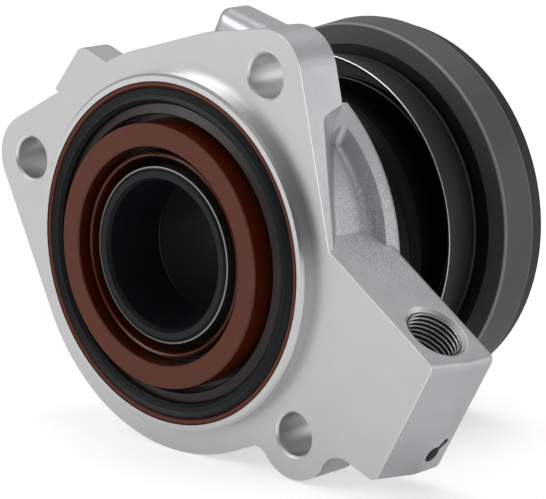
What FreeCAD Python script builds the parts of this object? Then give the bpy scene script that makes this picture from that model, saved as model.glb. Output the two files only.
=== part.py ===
# Concentric slave cylinder: it sits round a gearbox input shaft and pushes the clutch release bearing.
# Frame: origin on the bore axis in the plane of the machined mounting face, +Y along the bore from
# the gearbox towards the release bearing, +Z up as the cylinder lies on its side. Millimetres.
import FreeCAD
import Part
import Sketcher
import math
import os
import re

doc = FreeCAD.newDocument("ConcentricSlaveCylinder")
sizes = doc.addObject("Spreadsheet::Sheet", "sizes")

# Driving dimensions: lengths in millimetres, angles in degrees, measured in the front view from +X to +Z
SIZES = [
    ("Guide sleeve", None),
    ("sleeve_radius", 17.0),
    ("sleeve_wall", 1.4),
    ("sleeve_front", -4.3),
    ("sleeve_flange_height", 3.5),
    ("sleeve_flange_width", 1.5),
    ("sleeve_mouth_step", 1.0),
    ("sleeve_mouth_depth", 13.5),
    ("sleeve_end_length", 0.8),
    ("sleeve_ring_section", 1.2),
    ("sleeve_ring_play", 0.2),
    ("sleeve_ring_bite", 1.0),
    ("Seal at the sleeve mouth", None),
    ("lip_front_height", 2.2),
    ("lip_throat_height", 2.9),
    ("lip_edge_height", 3.7),
    ("lip_back_height", 2.7),
    ("lip_base_y", 5.0),
    ("lip_edge_y", 7.8),
    ("lip_seal_length", 13.0),
    ("lip_seal_proud", 0.3),
    ("lip_seal_leg", 0.8),
    ("lip_seal_edge", 0.5),
    ("lip_seal_lead", 0.2),
    ("lip_garter_section", 1.1),
    ("Seals in the housing face, from the sleeve outwards", None),
    ("shaft_seal_sleeve_gap", 2.0),
    ("shaft_seal_lip_width", 0.7),
    ("shaft_seal_groove_width", 1.3),
    ("shaft_seal_ring_width", 4.4),
    ("shaft_seal_channel_width", 1.3),
    ("shaft_seal_flange_width", 2.1),
    ("seal_gap", 0.1),
    ("face_seal_width", 2.95),
    ("rim_seal_width", 0.95),
    ("face_seal_proud", 0.4),
    ("face_seal_lobe", 0.7),
    ("shaft_seal_flange_y", -2.7),
    ("shaft_seal_ring_front", -6.0),
    ("shaft_seal_floor", 1.4),
    ("shaft_seal_lip_front", -4.5),
    ("shaft_seal_groove_floor", 0.0),
    ("shaft_seal_rounding", 0.25),
    ("seal_insert_wall", 0.8),
    ("seal_garter_section", 0.9),
    ("Cast housing: round body", None),
    ("collar_wall", 1.5),
    ("collar_height", 3.0),
    ("collar_chamfer", 0.5),
    ("face_width", 4.8),
    ("body_depth", 20.5),
    ("body_rear_rounding", 2.6),
    ("recess_depth", 7.0),
    ("front_wall", 4.0),
    ("chamber_gap", 4.5),
    ("tube_wall", 2.0),
    ("tube_length", 13.5),
    ("tube_chamfer_width", 0.6),
    ("tube_chamfer_length", 1.5),
    ("spring_ledge_width", 5.3),
    ("spring_ledge_length", 2.0),
    ("ledge_draft_width", 0.5),
    ("ledge_draft_end", 1.0),
    ("rear_rim_wall", 5.3),
    ("rear_rim_draft", 1.0),
    ("rear_recess_depth", 8.0),
    ("Cast housing: flange with three bolt ears", None),
    ("collar_to_bolts", 8.0),
    ("top_bolt_angle", 58.8),
    ("bolt_angle_step", 103.9),
    ("bolt_hole_radius", 4.1),
    ("bolt_hole_chamfer", 0.5),
    ("ear_radius", 8.7),
    ("ear_depth", 10.0),
    ("head_seat_radius", 7.5),
    ("web_half_angle", 22.0),
    ("top_web_bulge", 1.0),
    ("lower_neck_rounding", 3.5),
    ("side_flat_inset", 1.3),
    ("Cast housing: side pocket between flange and rear rim, at its foot and at its mouth", None),
    ("pocket_depth", 3.1),
    ("pocket_middle_angle", 22.0),
    ("pocket_foot_depth", 5.3),
    ("pocket_mouth_height", 2.7),
    ("pocket_low_end", -12.0),
    ("pocket_foot_low_y", 5.3),
    ("pocket_foot_rear_y", 13.2),
    ("pocket_foot_bend_y", 12.2),
    ("pocket_foot_bend", 9.0),
    ("pocket_foot_tip", 12.0),
    ("pocket_mouth_low_y", -6.3),
    ("pocket_mouth_rear_y", 16.8),
    ("pocket_mouth_bend_y", 3.5),
    ("pocket_mouth_bend", 16.0),
    ("pocket_mouth_tip", 19.0),
    ("pocket_bend_rounding", 4.0),
    ("pocket_tip_rounding", 1.4),
    ("pocket_low_rounding", 2.0),
    ("pocket_floor_rounding", 1.5),
    ("Cast housing: two cast lugs on top", None),
    ("left_lug_angle", 126.0),
    ("left_lug_height", 5.9),
    ("left_lug_far_angle", 140.7),
    ("left_lug_far_height", 4.1),
    ("left_lug_near_angle", 120.0),
    ("left_lug_depth", 9.0),
    ("right_lug_angle", 80.4),
    ("right_lug_height", 8.9),
    ("right_lug_far_angle", 66.3),
    ("right_lug_far_height", 9.3),
    ("right_lug_near_angle", 83.0),
    ("right_lug_depth", 9.5),
    ("right_lug_setback", 2.0),
    ("lug_root_inset", 2.5),
    ("lug_rounding", 1.6),
    ("lug_rear_rounding", 2.6),
    ("Port block", None),
    ("block_rear_step", 0.1),
    ("block_ridge_y", 10.0),
    ("block_ridge_bulge", 1.5),
    ("block_rear_bulge", 1.35),
    ("block_rear_drop", 0.35),
    ("block_near_inset", 0.45),
    ("block_near_z", 5.46),
    ("port_face_slope", 34.7),
    ("port_face_length", 29.2),
    ("end_face_slope", 61.4),
    ("end_face_length", 27.2),
    ("block_foot_overhang", 5.2),
    ("block_foot_z", -33.1),
    ("block_ear_inset", 1.4),
    ("block_root_inset", 4.1),
    ("block_rounding", 1.5),
    ("block_rear_rounding", 1.8),
    ("arch_radius", 5.3),
    ("arch_setback", 3.0),
    ("arch_drop", 4.4),
    ("Pressure port and drillings", None),
    ("port_along_face", 21.7),
    ("port_y", 8.6),
    ("port_thread_radius", 5.5),
    ("port_thread_depth", 12.0),
    ("port_mouth_width", 0.9),
    ("port_mouth_depth", 1.0),
    ("port_seat_depth", 2.0),
    ("cut_overlap", 0.2),
    ("cut_overrun", 3.0),
    ("drilling_radius", 1.7),
    ("drilling_y", 12.2),
    ("drilling_angle", -30.7),
    ("drilling_mouth_inset", 0.543),
    ("port_drilling_depth", 21.0),
    ("port_drilling_shift", 1.2),
    ("notch_radius", 0.7),
    ("notch_setback", 2.3),
    ("notch_rise", 2.5),
    ("notch_depth", 2.5),
    ("notch_slot_width", 1.0),
    ("plug_inset", 5.2),
    ("Annular piston", None),
    ("piston_clearance", 0.05),
    ("piston_skirt_length", 19.0),
    ("piston_flange_height", 6.0),
    ("piston_flange_start", 46.0),
    ("piston_flange_width", 3.6),
    ("piston_nose_wall", 4.0),
    ("piston_nose_length", 1.6),
    ("piston_seal_length", 3.0),
    ("piston_seal_clearance", 0.03),
    ("piston_seal_lip", 1.2),
    ("piston_clip_width", 0.8),
    ("piston_clip_height", 1.2),
    ("piston_clip_groove", 0.6),
    ("stop_ring_width", 1.0),
    ("stop_ring_height", 1.3),
    ("stop_ring_groove", 0.6),
    ("Preload spring", None),
    ("spring_wire_radius", 0.9),
    ("spring_play", 0.4),
    ("spring_turns", 4.5),
    ("Dust gaiter", None),
    ("gaiter_wall", 0.8),
    ("gaiter_cuff_length", 2.6),
    ("gaiter_cuff_play", 0.3),
    ("gaiter_shoulder_length", 7.0),
    ("gaiter_shoulder_rise", 2.1),
    ("gaiter_shoulder_sag", 3.0),
    ("gaiter_fold_length", 12.5),
    ("gaiter_fold_rise", 2.2),
    ("gaiter_fold_sag", 4.2),
    ("gaiter_neck_length", 6.0),
    ("gaiter_neck_rise", 2.3),
    ("gaiter_neck_sag", 1.6),
    ("Release bearing", None),
    ("cup_width", 5.7),
    ("cup_flare", 1.8),
    ("cup_depth", 9.6),
    ("cup_wall", 0.8),
    ("inner_race_wall", 5.6),
    ("inner_race_width", 10.8),
    ("ball_radius", 4.0),
    ("ball_setback", 6.8),
    ("ball_count", 15),
    ("ball_clearance", 0.06),
    ("race_shoulder_rise", 2.4),
    ("cage_wall", 1.2),
    ("cage_half_width", 4.7),
    ("cage_clearance", 0.1),
    ("shield_seat_height", 2.9),
    ("race_front_wall", 4.2),
    ("race_flare", 0.65),
    ("race_step_height", 1.25),
    ("race_taper", 0.2),
    ("race_setback", 1.2),
    ("race_flare_length", 8.1),
    ("race_length", 13.2),
    ("race_edge_chamfer", 0.4),
    ("race_contact_wall", 2.6),
    ("race_contact_crown", 0.5),
    ("front_seal_setback", 0.2),
    ("seal_ring_width", 0.6),
    ("seal_ring_clearance", 0.4),
    ("rear_seal_clearance", 0.5),
    ("rear_seal_height", 3.3),
    ("rear_seal_setback", 1.9),
]

# Radii and places that follow from those, so that what fits together stays together
FOLLOWING = [
    ("sleeve_bore_radius", "sleeve_radius - sleeve_wall"),
    ("sleeve_flange_radius", "sleeve_radius + sleeve_flange_height"),
    ("sleeve_mouth_radius", "sleeve_bore_radius + sleeve_mouth_step"),
    ("lip_front_radius", "sleeve_mouth_radius - lip_front_height"),
    ("lip_throat_radius", "sleeve_mouth_radius - lip_throat_height"),
    ("lip_edge_radius", "sleeve_mouth_radius - lip_edge_height"),
    ("lip_back_radius", "sleeve_mouth_radius - lip_back_height"),
    ("shaft_seal_lip_inner", "sleeve_radius + shaft_seal_sleeve_gap"),
    ("shaft_seal_lip_outer", "shaft_seal_lip_inner + shaft_seal_lip_width"),
    ("shaft_seal_ring_inner", "shaft_seal_lip_outer + shaft_seal_groove_width"),
    ("shaft_seal_ring_outer", "shaft_seal_ring_inner + shaft_seal_ring_width"),
    ("shaft_seal_channel_outer", "shaft_seal_ring_outer + shaft_seal_channel_width"),
    ("shaft_seal_outer", "shaft_seal_channel_outer + shaft_seal_flange_width"),
    ("face_seal_inner", "shaft_seal_outer + seal_gap"),
    ("face_seal_outer", "face_seal_inner + face_seal_width"),
    ("rim_seal_inner", "face_seal_outer + seal_gap"),
    ("rim_seal_outer", "rim_seal_inner + rim_seal_width"),
    ("recess_radius", "rim_seal_outer + seal_gap"),
    ("recess_floor", "recess_depth - collar_height"),
    ("chamber_floor", "recess_floor + front_wall"),
    ("collar_radius", "recess_radius + collar_wall"),
    ("body_radius", "collar_radius + face_width"),
    ("bolt_circle_radius", "collar_radius + collar_to_bolts"),
    ("chamber_radius", "sleeve_radius + chamber_gap"),
    ("tube_radius", "chamber_radius + tube_wall"),
    ("tube_end", "body_depth + tube_length"),
    ("spring_ledge_radius", "tube_radius + spring_ledge_width"),
    ("spring_ledge_end", "body_depth + spring_ledge_length"),
    ("rear_recess_radius", "body_radius - rear_rim_wall"),
    ("rear_recess_floor", "body_depth - rear_recess_depth"),
    ("block_depth", "body_depth - body_rear_rounding - block_rear_step"),
    ("block_ridge_drop", "block_rear_drop * block_ridge_y / block_depth"),
    ("block_near_x", "body_radius - block_near_inset"),
    ("block_foot_x", "body_radius + block_foot_overhang"),
    ("arch_x", "block_foot_x - arch_setback"),
    ("arch_z", "block_foot_z - arch_drop"),
    ("ridge_face_length", "port_face_length + block_ridge_bulge"),
    ("ridge_end_x",
     "block_near_x - block_ridge_drop * sin(port_face_slope) + ridge_face_length * cos(port_face_slope)"),
    ("ridge_end_z",
     "block_near_z - block_ridge_drop * cos(port_face_slope) - ridge_face_length * sin(port_face_slope)"),
    ("drilling_mouth", "(ridge_end_x * sin(end_face_slope) - ridge_end_z * cos(end_face_slope))"
     " / sin(end_face_slope - drilling_angle)"),
    ("drilling_reach", "drilling_mouth - drilling_mouth_inset"),
    ("pocket_radius", "body_radius - pocket_depth"),
    ("left_lug_reach", "body_radius + left_lug_height"),
    ("left_lug_far_reach", "body_radius + left_lug_far_height"),
    ("right_lug_reach", "body_radius + right_lug_height"),
    ("right_lug_far_reach", "body_radius + right_lug_far_height"),
    ("piston_front", "piston_flange_start - piston_skirt_length"),
    ("piston_nose_radius", "sleeve_radius + piston_nose_wall"),
    ("piston_flange_radius", "piston_nose_radius + piston_flange_height"),
    ("flange_end", "piston_flange_start + piston_flange_width"),
    ("race_start", "flange_end + cup_wall"),
    ("race_end", "race_start + inner_race_width"),
    ("piston_end", "race_end + piston_nose_length"),
    ("piston_clip_radius", "piston_nose_radius + piston_clip_height"),
    ("stop_ring_radius", "sleeve_radius + stop_ring_height"),
    ("sleeve_end", "piston_end + stop_ring_width + sleeve_end_length"),
    ("spring_radius", "tube_radius + spring_play + spring_wire_radius"),
    ("inner_race_shoulder", "piston_nose_radius + inner_race_wall"),
    ("ball_pitch_radius", "inner_race_shoulder + race_shoulder_rise"),
    ("ball_middle", "race_start + ball_setback"),
    ("outer_race_shoulder", "ball_pitch_radius + race_shoulder_rise"),
    ("race_inner_radius", "outer_race_shoulder + shield_seat_height"),
    ("race_front_radius", "race_inner_radius + race_front_wall"),
    ("race_flare_radius", "race_front_radius + race_flare"),
    ("race_step_radius", "race_flare_radius - race_step_height"),
    ("race_front", "race_start + race_setback"),
    ("race_step_y", "race_front + race_flare_length"),
    ("race_rear", "race_front + race_length"),
    ("rear_seal_inner", "piston_clip_radius + rear_seal_clearance"),
    ("race_contact_inner", "rear_seal_inner + rear_seal_height"),
    ("cup_corner_radius", "inner_race_shoulder + cup_width"),
    ("cup_rim_radius", "cup_corner_radius + cup_flare"),
    ("cup_rim_y", "flange_end - cup_depth"),
]
for row, (name, value) in enumerate(SIZES + FOLLOWING, start=1):
    sizes.set("A%d" % row, name)
    if value is not None:
        sizes.set("B%d" % row, "=" + value if isinstance(value, str) else str(value))
        sizes.setAlias("B%d" % row, name)
doc.recompute()

NAME = re.compile(r"\b([a-z]+(?:_[a-z]+)+)\b")


def bound(text):
    """Expression with each sheet name written as other objects see it."""
    return NAME.sub(r"sizes.\1", text)


def size(text):
    """Number that an expression of sheet names gives now."""
    return float(sizes.evalExpression(text))


def new_body(label):
    """Empty body named for its piece."""
    body = doc.addObject("PartDesign::Body", label)
    body.Label = label
    return body


def sketch_on(body, name, role, shift="0"):
    """Sketch on one origin plane of the body, moved along the plane's normal."""
    plane = [item for item in body.Origin.OriginFeatures if item.Role == role][0]
    sketch = body.newObject("Sketcher::SketchObject", name)
    sketch.AttachmentSupport = [(plane, "")]
    sketch.MapMode = "FlatFace"
    if shift != "0":
        sketch.setExpression("AttachmentOffset.Base.z", bound(shift))
    return sketch


def fix_point(sketch, edge, end, across, up):
    """Ties one point of a sketch to two expressions, measured from the origin."""
    number = sketch.addConstraint(Sketcher.Constraint("DistanceX", -1, 1, edge, end, size(across)))
    sketch.setExpression("Constraints[%d]" % number, bound(across))
    number = sketch.addConstraint(Sketcher.Constraint("DistanceY", -1, 1, edge, end, size(up)))
    sketch.setExpression("Constraints[%d]" % number, bound(up))


def closed_outline(sketch, corners):
    """Straight-sided closed profile through corners given as pairs of expressions."""
    points = [FreeCAD.Vector(size(across), size(up), 0) for across, up in corners]
    first = sketch.GeometryCount
    count = len(corners)
    for place, point in enumerate(points):
        sketch.addGeometry(Part.LineSegment(point, points[(place + 1) % count]))
    for place in range(count):
        nxt = first + (place + 1) % count
        sketch.addConstraint(Sketcher.Constraint("Coincident", first + place, 2, nxt, 1))
    for place, (across, up) in enumerate(corners):
        fix_point(sketch, first + place, 1, across, up)


def circle_in(sketch, across, up, radius):
    """Circle with centre and radius given as expressions."""
    centre = FreeCAD.Vector(size(across), size(up), 0)
    edge = sketch.addGeometry(Part.Circle(centre, FreeCAD.Vector(0, 0, 1), size(radius)))
    fix_point(sketch, edge, 3, across, up)
    number = sketch.addConstraint(Sketcher.Constraint("Radius", edge, size(radius)))
    sketch.setExpression("Constraints[%d]" % number, bound(radius))


def turned(body, name, corners):
    """Solid of revolution round the bore axis from a profile of (y, radius) corners."""
    sketch = sketch_on(body, name + "_profile", "YZ_Plane")
    closed_outline(sketch, corners)
    feature = body.newObject("PartDesign::Revolution", name + "_turning")
    feature.Profile = (sketch, [""])
    feature.ReferenceAxis = (sketch, ["H_Axis"])
    feature.Angle = 360
    doc.recompute()
    return feature


def turned_cut(body, name, corners):
    """Groove of the same kind, all the way round."""
    sketch = sketch_on(body, name + "_profile", "YZ_Plane")
    closed_outline(sketch, corners)
    before = body.Shape.Volume
    feature = body.newObject("PartDesign::Groove", name + "_groove")
    feature.Profile = (sketch, [""])
    feature.ReferenceAxis = (sketch, ["H_Axis"])
    feature.Angle = 360
    doc.recompute()
    must_lose(body, before, name)
    return feature


def must_lose(body, before, name):
    """Stops if a cut took nothing away."""
    if body.Shape.Volume > before - 1e-3:
        raise RuntimeError("cut without effect: " + name)


def pad_back(body, name, sketch, length):
    """Pad from a front-view sketch towards +Y."""
    pad = body.newObject("PartDesign::Pad", name)
    pad.Profile = (sketch, [""])
    pad.setExpression("Length", bound(length))
    pad.Reversed = True
    doc.recompute()
    return pad


def cut_back(body, name, sketch, length):
    """Pocket from a front-view sketch towards +Y."""
    before = body.Shape.Volume
    pocket = body.newObject("PartDesign::Pocket", name)
    pocket.Profile = (sketch, [""])
    pocket.setExpression("Length", bound(length))
    doc.recompute()
    must_lose(body, before, name)
    return pocket


def drill(body, name, radius, depth, place, turn, wider=None):
    """Round cut along the direction that turning +Z about +Y by an angle gives."""
    before = body.Shape.Volume
    kind = "PartDesign::SubtractiveCone" if wider else "PartDesign::SubtractiveCylinder"
    tool = body.newObject(kind, name)
    if wider:
        tool.setExpression("Radius1", bound(radius))
        tool.setExpression("Radius2", bound(wider))
    else:
        tool.setExpression("Radius", bound(radius))
    tool.setExpression("Height", bound(depth))
    tool.Placement = FreeCAD.Placement(FreeCAD.Vector(0, 0, 0), FreeCAD.Rotation(FreeCAD.Vector(0, 1, 0), 10))
    tool.setExpression("Placement.Rotation.Angle", bound(turn))
    for letter, text in zip("xyz", place):
        tool.setExpression("Placement.Base." + letter, bound(text))
    doc.recompute()
    must_lose(body, before, name)
    return tool


def circle_edges(shape, y, radius, centred=False):
    """Names of the circles square to the bore axis at a given y and radius, or only of those centred on it."""
    names = []
    for number, edge in enumerate(shape.Edges, start=1):
        if edge.Degenerated:
            continue
        curve = edge.Curve
        if curve.TypeId != "Part::GeomCircle" or abs(abs(curve.Axis.y) - 1) > 1e-4:
            continue
        if centred and math.hypot(curve.Center.x, curve.Center.z) > 1e-3:
            continue
        if abs(curve.Radius - radius) < 1e-3 and abs(curve.Center.y - y) < 1e-3:
            names.append("Edge%d" % number)
    return names


def edges_along(shape, axis, across, up, places, reach=0.1):
    """Names of straight edges along an axis, seen end-on within reach of any place given across and up."""
    names = []
    for number, edge in enumerate(shape.Edges, start=1):
        if len(edge.Vertexes) < 2:
            continue
        chord = edge.Vertexes[1].Point - edge.Vertexes[0].Point
        if chord.Length < 0.5 or abs(chord.dot(axis)) < 0.98 * edge.Length:
            continue
        middle = edge.valueAt((edge.FirstParameter + edge.LastParameter) / 2)
        for right, high in places:
            if math.hypot(middle.dot(across) - size(right), middle.dot(up) - size(high)) < reach:
                names.append("Edge%d" % number)
                break
    return names


def face_edges(shape, y, *lines):
    """Names of edges in the plane at y along any front-view line, each given as its two ends."""
    drawn = [Part.makeLine(*(FreeCAD.Vector(size(x), y, size(z)) for x, z in line)) for line in lines]
    names = []
    for number, edge in enumerate(shape.Edges, start=1):
        if max(abs(vertex.Point.y - y) for vertex in edge.Vertexes) > 0.01:
            continue
        middle = Part.Vertex(edge.valueAt((edge.FirstParameter + edge.LastParameter) / 2))
        if min(line.distToShape(middle)[0] for line in drawn) < 0.02:
            names.append("Edge%d" % number)
    return names


def dress(body, kind, name, edges, amount):
    """Fillet or chamfer on named edges of the body's last feature."""
    if not edges:
        raise RuntimeError("no edge to dress: " + name)
    base = body.Tip
    feature = body.newObject("PartDesign::" + kind, name)
    feature.Base = (base, edges)
    feature.setExpression("Radius" if kind == "Fillet" else "Size", bound(amount))
    doc.recompute()
    if feature.Shape.isNull() or not feature.Shape.isValid():
        raise RuntimeError("bad rounding: " + name)
    return feature


def round_rings(body, name, places, amount):
    """Fillet on circles round the axis, given as (y, radius) pairs of expressions."""
    edges = []
    for y, radius in places:
        edges += circle_edges(body.Shape, size(y), size(radius), centred=True)
    return dress(body, "Fillet", name, edges, amount)


# Cast housing: body, collar, seal recess, chamber and the tube that the piston runs in
housing = new_body("housing")
turned(housing, "body", [
    ("-collar_height", "recess_radius"),
    ("-collar_height", "collar_radius - collar_chamfer"),
    ("-collar_height + collar_chamfer", "collar_radius"),
    ("0", "collar_radius"),
    ("0", "body_radius"),
    ("body_depth", "body_radius"),
    ("body_depth", "rear_recess_radius"),
    ("rear_recess_floor", "rear_recess_radius - rear_rim_draft"),
    ("rear_recess_floor", "spring_ledge_radius + ledge_draft_width"),
    ("body_depth - ledge_draft_end", "spring_ledge_radius"),
    ("spring_ledge_end", "spring_ledge_radius"),
    ("spring_ledge_end", "tube_radius"),
    ("tube_end", "tube_radius"),
    ("tube_end", "chamber_radius + tube_chamfer_width"),
    ("tube_end - tube_chamfer_length", "chamber_radius"),
    ("chamber_floor", "chamber_radius"),
    ("chamber_floor", "sleeve_radius"),
    ("recess_floor", "sleeve_radius"),
    ("recess_floor", "recess_radius"),
])

# Three round ears for the bolts, with straight webs that run off the body
PSI = "(acos((body_radius - ear_radius) / bolt_circle_radius) / 1deg)"
BOLTS = {
    "left": "(top_bolt_angle + bolt_angle_step)",
    "top": "top_bolt_angle",
    "low": "(top_bolt_angle - bolt_angle_step)",
}


def polar(radius, angle):
    """Front-view point at a radius and an angle from the bore axis."""
    return ("(%s) * cos(%s)" % (radius, angle), "(%s) * sin(%s)" % (radius, angle))


def beside(point, radius, angle):
    """Front-view point at a radius and an angle from another point."""
    return (point[0] + " + (%s) * cos(%s)" % (radius, angle), point[1] + " + (%s) * sin(%s)" % (radius, angle))


def front_sketch(body, name, y="0"):
    """Sketch parallel to the mounting face, a distance y behind it."""
    return sketch_on(body, name, "XZ_Plane", "0" if y == "0" else "-(%s)" % y)


ears = front_sketch(housing, "ear_outline")
for angle in BOLTS.values():
    circle_in(ears, *polar("bolt_circle_radius", angle), "ear_radius")
pad_back(housing, "ears", ears, "ear_depth")

for side in ("left", "top"):
    angle = BOLTS[side]
    centre = polar("bolt_circle_radius", angle)
    upper = angle + " + " + PSI if side == "top" else angle + " - " + PSI
    lower = angle + " - " + PSI if side == "top" else angle + " + " + PSI
    web = front_sketch(housing, side + "_web_outline")
    back = " - " if side == "top" else " + "
    crown = polar("body_radius / cos(web_half_angle)", upper + back + "web_half_angle")
    if side == "top":
        crown = beside(crown, "top_web_bulge", upper)
    closed_outline(web, [
        polar("body_radius", upper),
        crown,
        beside(centre, "ear_radius", upper),
        beside(centre, "ear_radius", lower),
        polar("body_radius", lower),
        polar("body_radius - lug_root_inset", lower),
        polar("body_radius - lug_root_inset", angle),
        polar("body_radius - lug_root_inset", upper),
    ])
    pad_back(housing, side + "_web", web, "ear_depth")

# Two triangular cast lugs on the upper edge of the flange
left_lug = front_sketch(housing, "left_lug_outline")
closed_outline(left_lug, [
    polar("left_lug_reach", "left_lug_angle"),
    polar("body_radius", "left_lug_near_angle"),
    polar("body_radius - lug_root_inset", "left_lug_near_angle"),
    polar("body_radius - lug_root_inset", "left_lug_far_angle"),
    polar("left_lug_far_reach", "left_lug_far_angle"),
])
pad_back(housing, "left_lug", left_lug, "left_lug_depth")
right_lug = front_sketch(housing, "right_lug_outline", "right_lug_setback")
closed_outline(right_lug, [
    polar("right_lug_reach", "right_lug_angle"),
    polar("right_lug_far_reach", "right_lug_far_angle"),
    polar("body_radius - lug_root_inset", "right_lug_far_angle"),
    polar("body_radius - lug_root_inset", "right_lug_near_angle"),
    polar("body_radius + lug_root_inset", "right_lug_near_angle"),
])
pad_back(housing, "right_lug", right_lug, "right_lug_depth")

# The flange runs straight from the top ear to the port block, a little inside the body's circle
flat = front_sketch(housing, "side_flat_outline")
FLAT_ANGLE = "(top_bolt_angle - " + PSI + ")"
FLAT_LOW = beside(polar("body_radius - side_flat_inset", FLAT_ANGLE), "-ear_radius", FLAT_ANGLE + " + 90")
FLAT_HIGH = beside(polar("bolt_circle_radius", BOLTS["top"]), "ear_radius", FLAT_ANGLE)
closed_outline(flat, [
    FLAT_LOW,
    FLAT_HIGH,
    beside(FLAT_HIGH, "ear_radius", FLAT_ANGLE),
    beside(FLAT_LOW, "2 * ear_radius", FLAT_ANGLE),
])
cut_back(housing, "side_flat", flat, "ear_depth")

# Side pocket: a leaf-shaped hollow with sloping walls between the flange plate and the rear rim. It is shaped
# on a body of its own, between an outline below its floor and a wider one outside its mouth
POCKET_WAY = FreeCAD.Vector(size("cos(pocket_middle_angle)"), 0, size("sin(pocket_middle_angle)"))
POCKET_UP = FreeCAD.Vector(-POCKET_WAY.z, 0, POCKET_WAY.x)
POCKET_CORNERS = {
    "low_front": (("pocket_foot_low_y", "pocket_low_end"), ("pocket_mouth_low_y", "pocket_low_end")),
    "low_rear": (("pocket_foot_rear_y", "pocket_low_end"), ("pocket_mouth_rear_y", "pocket_low_end")),
    "tip": (("pocket_foot_rear_y", "pocket_foot_tip"), ("pocket_mouth_rear_y", "pocket_mouth_tip")),
    "bend": (("pocket_foot_bend_y", "pocket_foot_bend"), ("pocket_mouth_bend_y", "pocket_mouth_bend")),
}
POCKET_LEVELS = ("body_radius - pocket_foot_depth", "body_radius + pocket_mouth_height")
hollow = new_body("pocket_shape")
leaves = []
for place, level in enumerate(POCKET_LEVELS):
    leaf = sketch_on(hollow, "pocket_leaf_%d" % place, "YZ_Plane")
    closed_outline(leaf, [ends[place] for ends in POCKET_CORNERS.values()])
    leaf.AttachmentOffset = FreeCAD.Placement(
        FreeCAD.Vector(0, 0, 0), FreeCAD.Rotation(FreeCAD.Vector(1, 0, 0), -10))
    leaf.setExpression("AttachmentOffset.Rotation.Angle", bound("-pocket_middle_angle"))
    leaf.setExpression("AttachmentOffset.Base.y", bound("(%s) * sin(pocket_middle_angle)" % level))
    leaf.setExpression("AttachmentOffset.Base.z", bound("(%s) * cos(pocket_middle_angle)" % level))
    leaves.append(leaf)
loft = hollow.newObject("PartDesign::AdditiveLoft", "pocket_loft")
loft.Profile = (leaves[0], [""])
loft.Sections = [(leaves[1], [""])]
loft.Ruled = True
doc.recompute()
turned_cut(hollow, "pocket_floor", [
    ("pocket_mouth_low_y", "0"),
    ("body_depth", "0"),
    ("body_depth", "pocket_radius"),
    ("pocket_mouth_low_y", "pocket_radius"),
])


def pocket_point(place, name):
    """Corner of the pocket's outline at one of its two levels, in space."""
    y, up = POCKET_CORNERS[name][place]
    return POCKET_WAY * size(POCKET_LEVELS[place]) + POCKET_UP * size(up) + FreeCAD.Vector(0, size(y), 0)


def pocket_edges(names):
    """Edges of the pocket's shape along the lines between the corners of its two outlines."""
    lines = [Part.makeLine(pocket_point(0, name), pocket_point(1, name)) for name in names]
    edges = []
    for number, edge in enumerate(hollow.Shape.Edges, start=1):
        middle = Part.Vertex(edge.valueAt((edge.FirstParameter + edge.LastParameter) / 2))
        if edge.Length > 0.5 and min(line.distToShape(middle)[0] for line in lines) < 0.05:
            edges.append("Edge%d" % number)
    return edges


dress(hollow, "Fillet", "pocket_bend_rounding", pocket_edges(["bend"]), "pocket_bend_rounding")
dress(hollow, "Fillet", "pocket_tip_rounding", pocket_edges(["tip"]), "pocket_tip_rounding")
dress(hollow, "Fillet", "pocket_low_rounding", pocket_edges(["low_front", "low_rear"]), "pocket_low_rounding")
floor_edges = []
for number, edge in enumerate(hollow.Shape.Edges, start=1):
    middle = edge.valueAt((edge.FirstParameter + edge.LastParameter) / 2)
    if abs(math.hypot(middle.x, middle.z) - size("pocket_radius")) < 1e-3:
        floor_edges.append("Edge%d" % number)
dress(hollow, "Fillet", "pocket_floor_rounding", floor_edges, "pocket_floor_rounding")
before = housing.Shape.Volume
pocket = housing.newObject("PartDesign::Boolean", "side_pocket")
pocket.Type = "Cut"
pocket.setObjects([hollow])
doc.recompute()
must_lose(housing, before, "side_pocket")

# Port block: its outlines at the front, at the parting ridge of its end face and at the rear
NEAR = ("block_near_x", "block_near_z")
ROOT = "body_radius - block_root_inset"
LOW_BOLT = polar("bolt_circle_radius", BOLTS["low"])


def block_corners(bulge, drop):
    """Near end, corner and foot of the block where its end face stands out and its port face lies lower."""
    near = beside(NEAR, drop, "-(90 + port_face_slope)")
    corner = beside(near, "port_face_length + " + bulge, "-port_face_slope")
    return near, corner, beside(corner, "end_face_length", "-180 + end_face_slope")


blocks = []
for name, y, bulge, drop in (
        ("front", "0", "0", "0"),
        ("ridge", "block_ridge_y", "block_ridge_bulge", "block_ridge_drop"),
        ("rear", "block_depth", "block_rear_bulge", "block_rear_drop")):
    near, corner, foot = block_corners(bulge, drop)
    block = front_sketch(housing, "block_%s_outline" % name, y)
    closed_outline(block, [
        beside(near, "-block_root_inset", "-port_face_slope"),
        corner,
        foot,
        ("block_foot_x", "block_foot_z"),
        beside(LOW_BOLT, "ear_radius - block_ear_inset", "-57"),
        beside(LOW_BOLT, "ear_radius - block_ear_inset", "80"),
        polar(ROOT, "-26"),
        polar(ROOT, "-10"),
        polar(ROOT, "6"),
    ])
    blocks.append(block)
loft = housing.newObject("PartDesign::AdditiveLoft", "block")
loft.Profile = (blocks[0], [""])
loft.Sections = [(block, [""]) for block in blocks[1:]]
loft.Ruled = True
doc.recompute()

# Rounded edges of the casting
round_rings(housing, "rear_rim_rounding", [("body_depth", "body_radius")], "body_rear_rounding")


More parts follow.
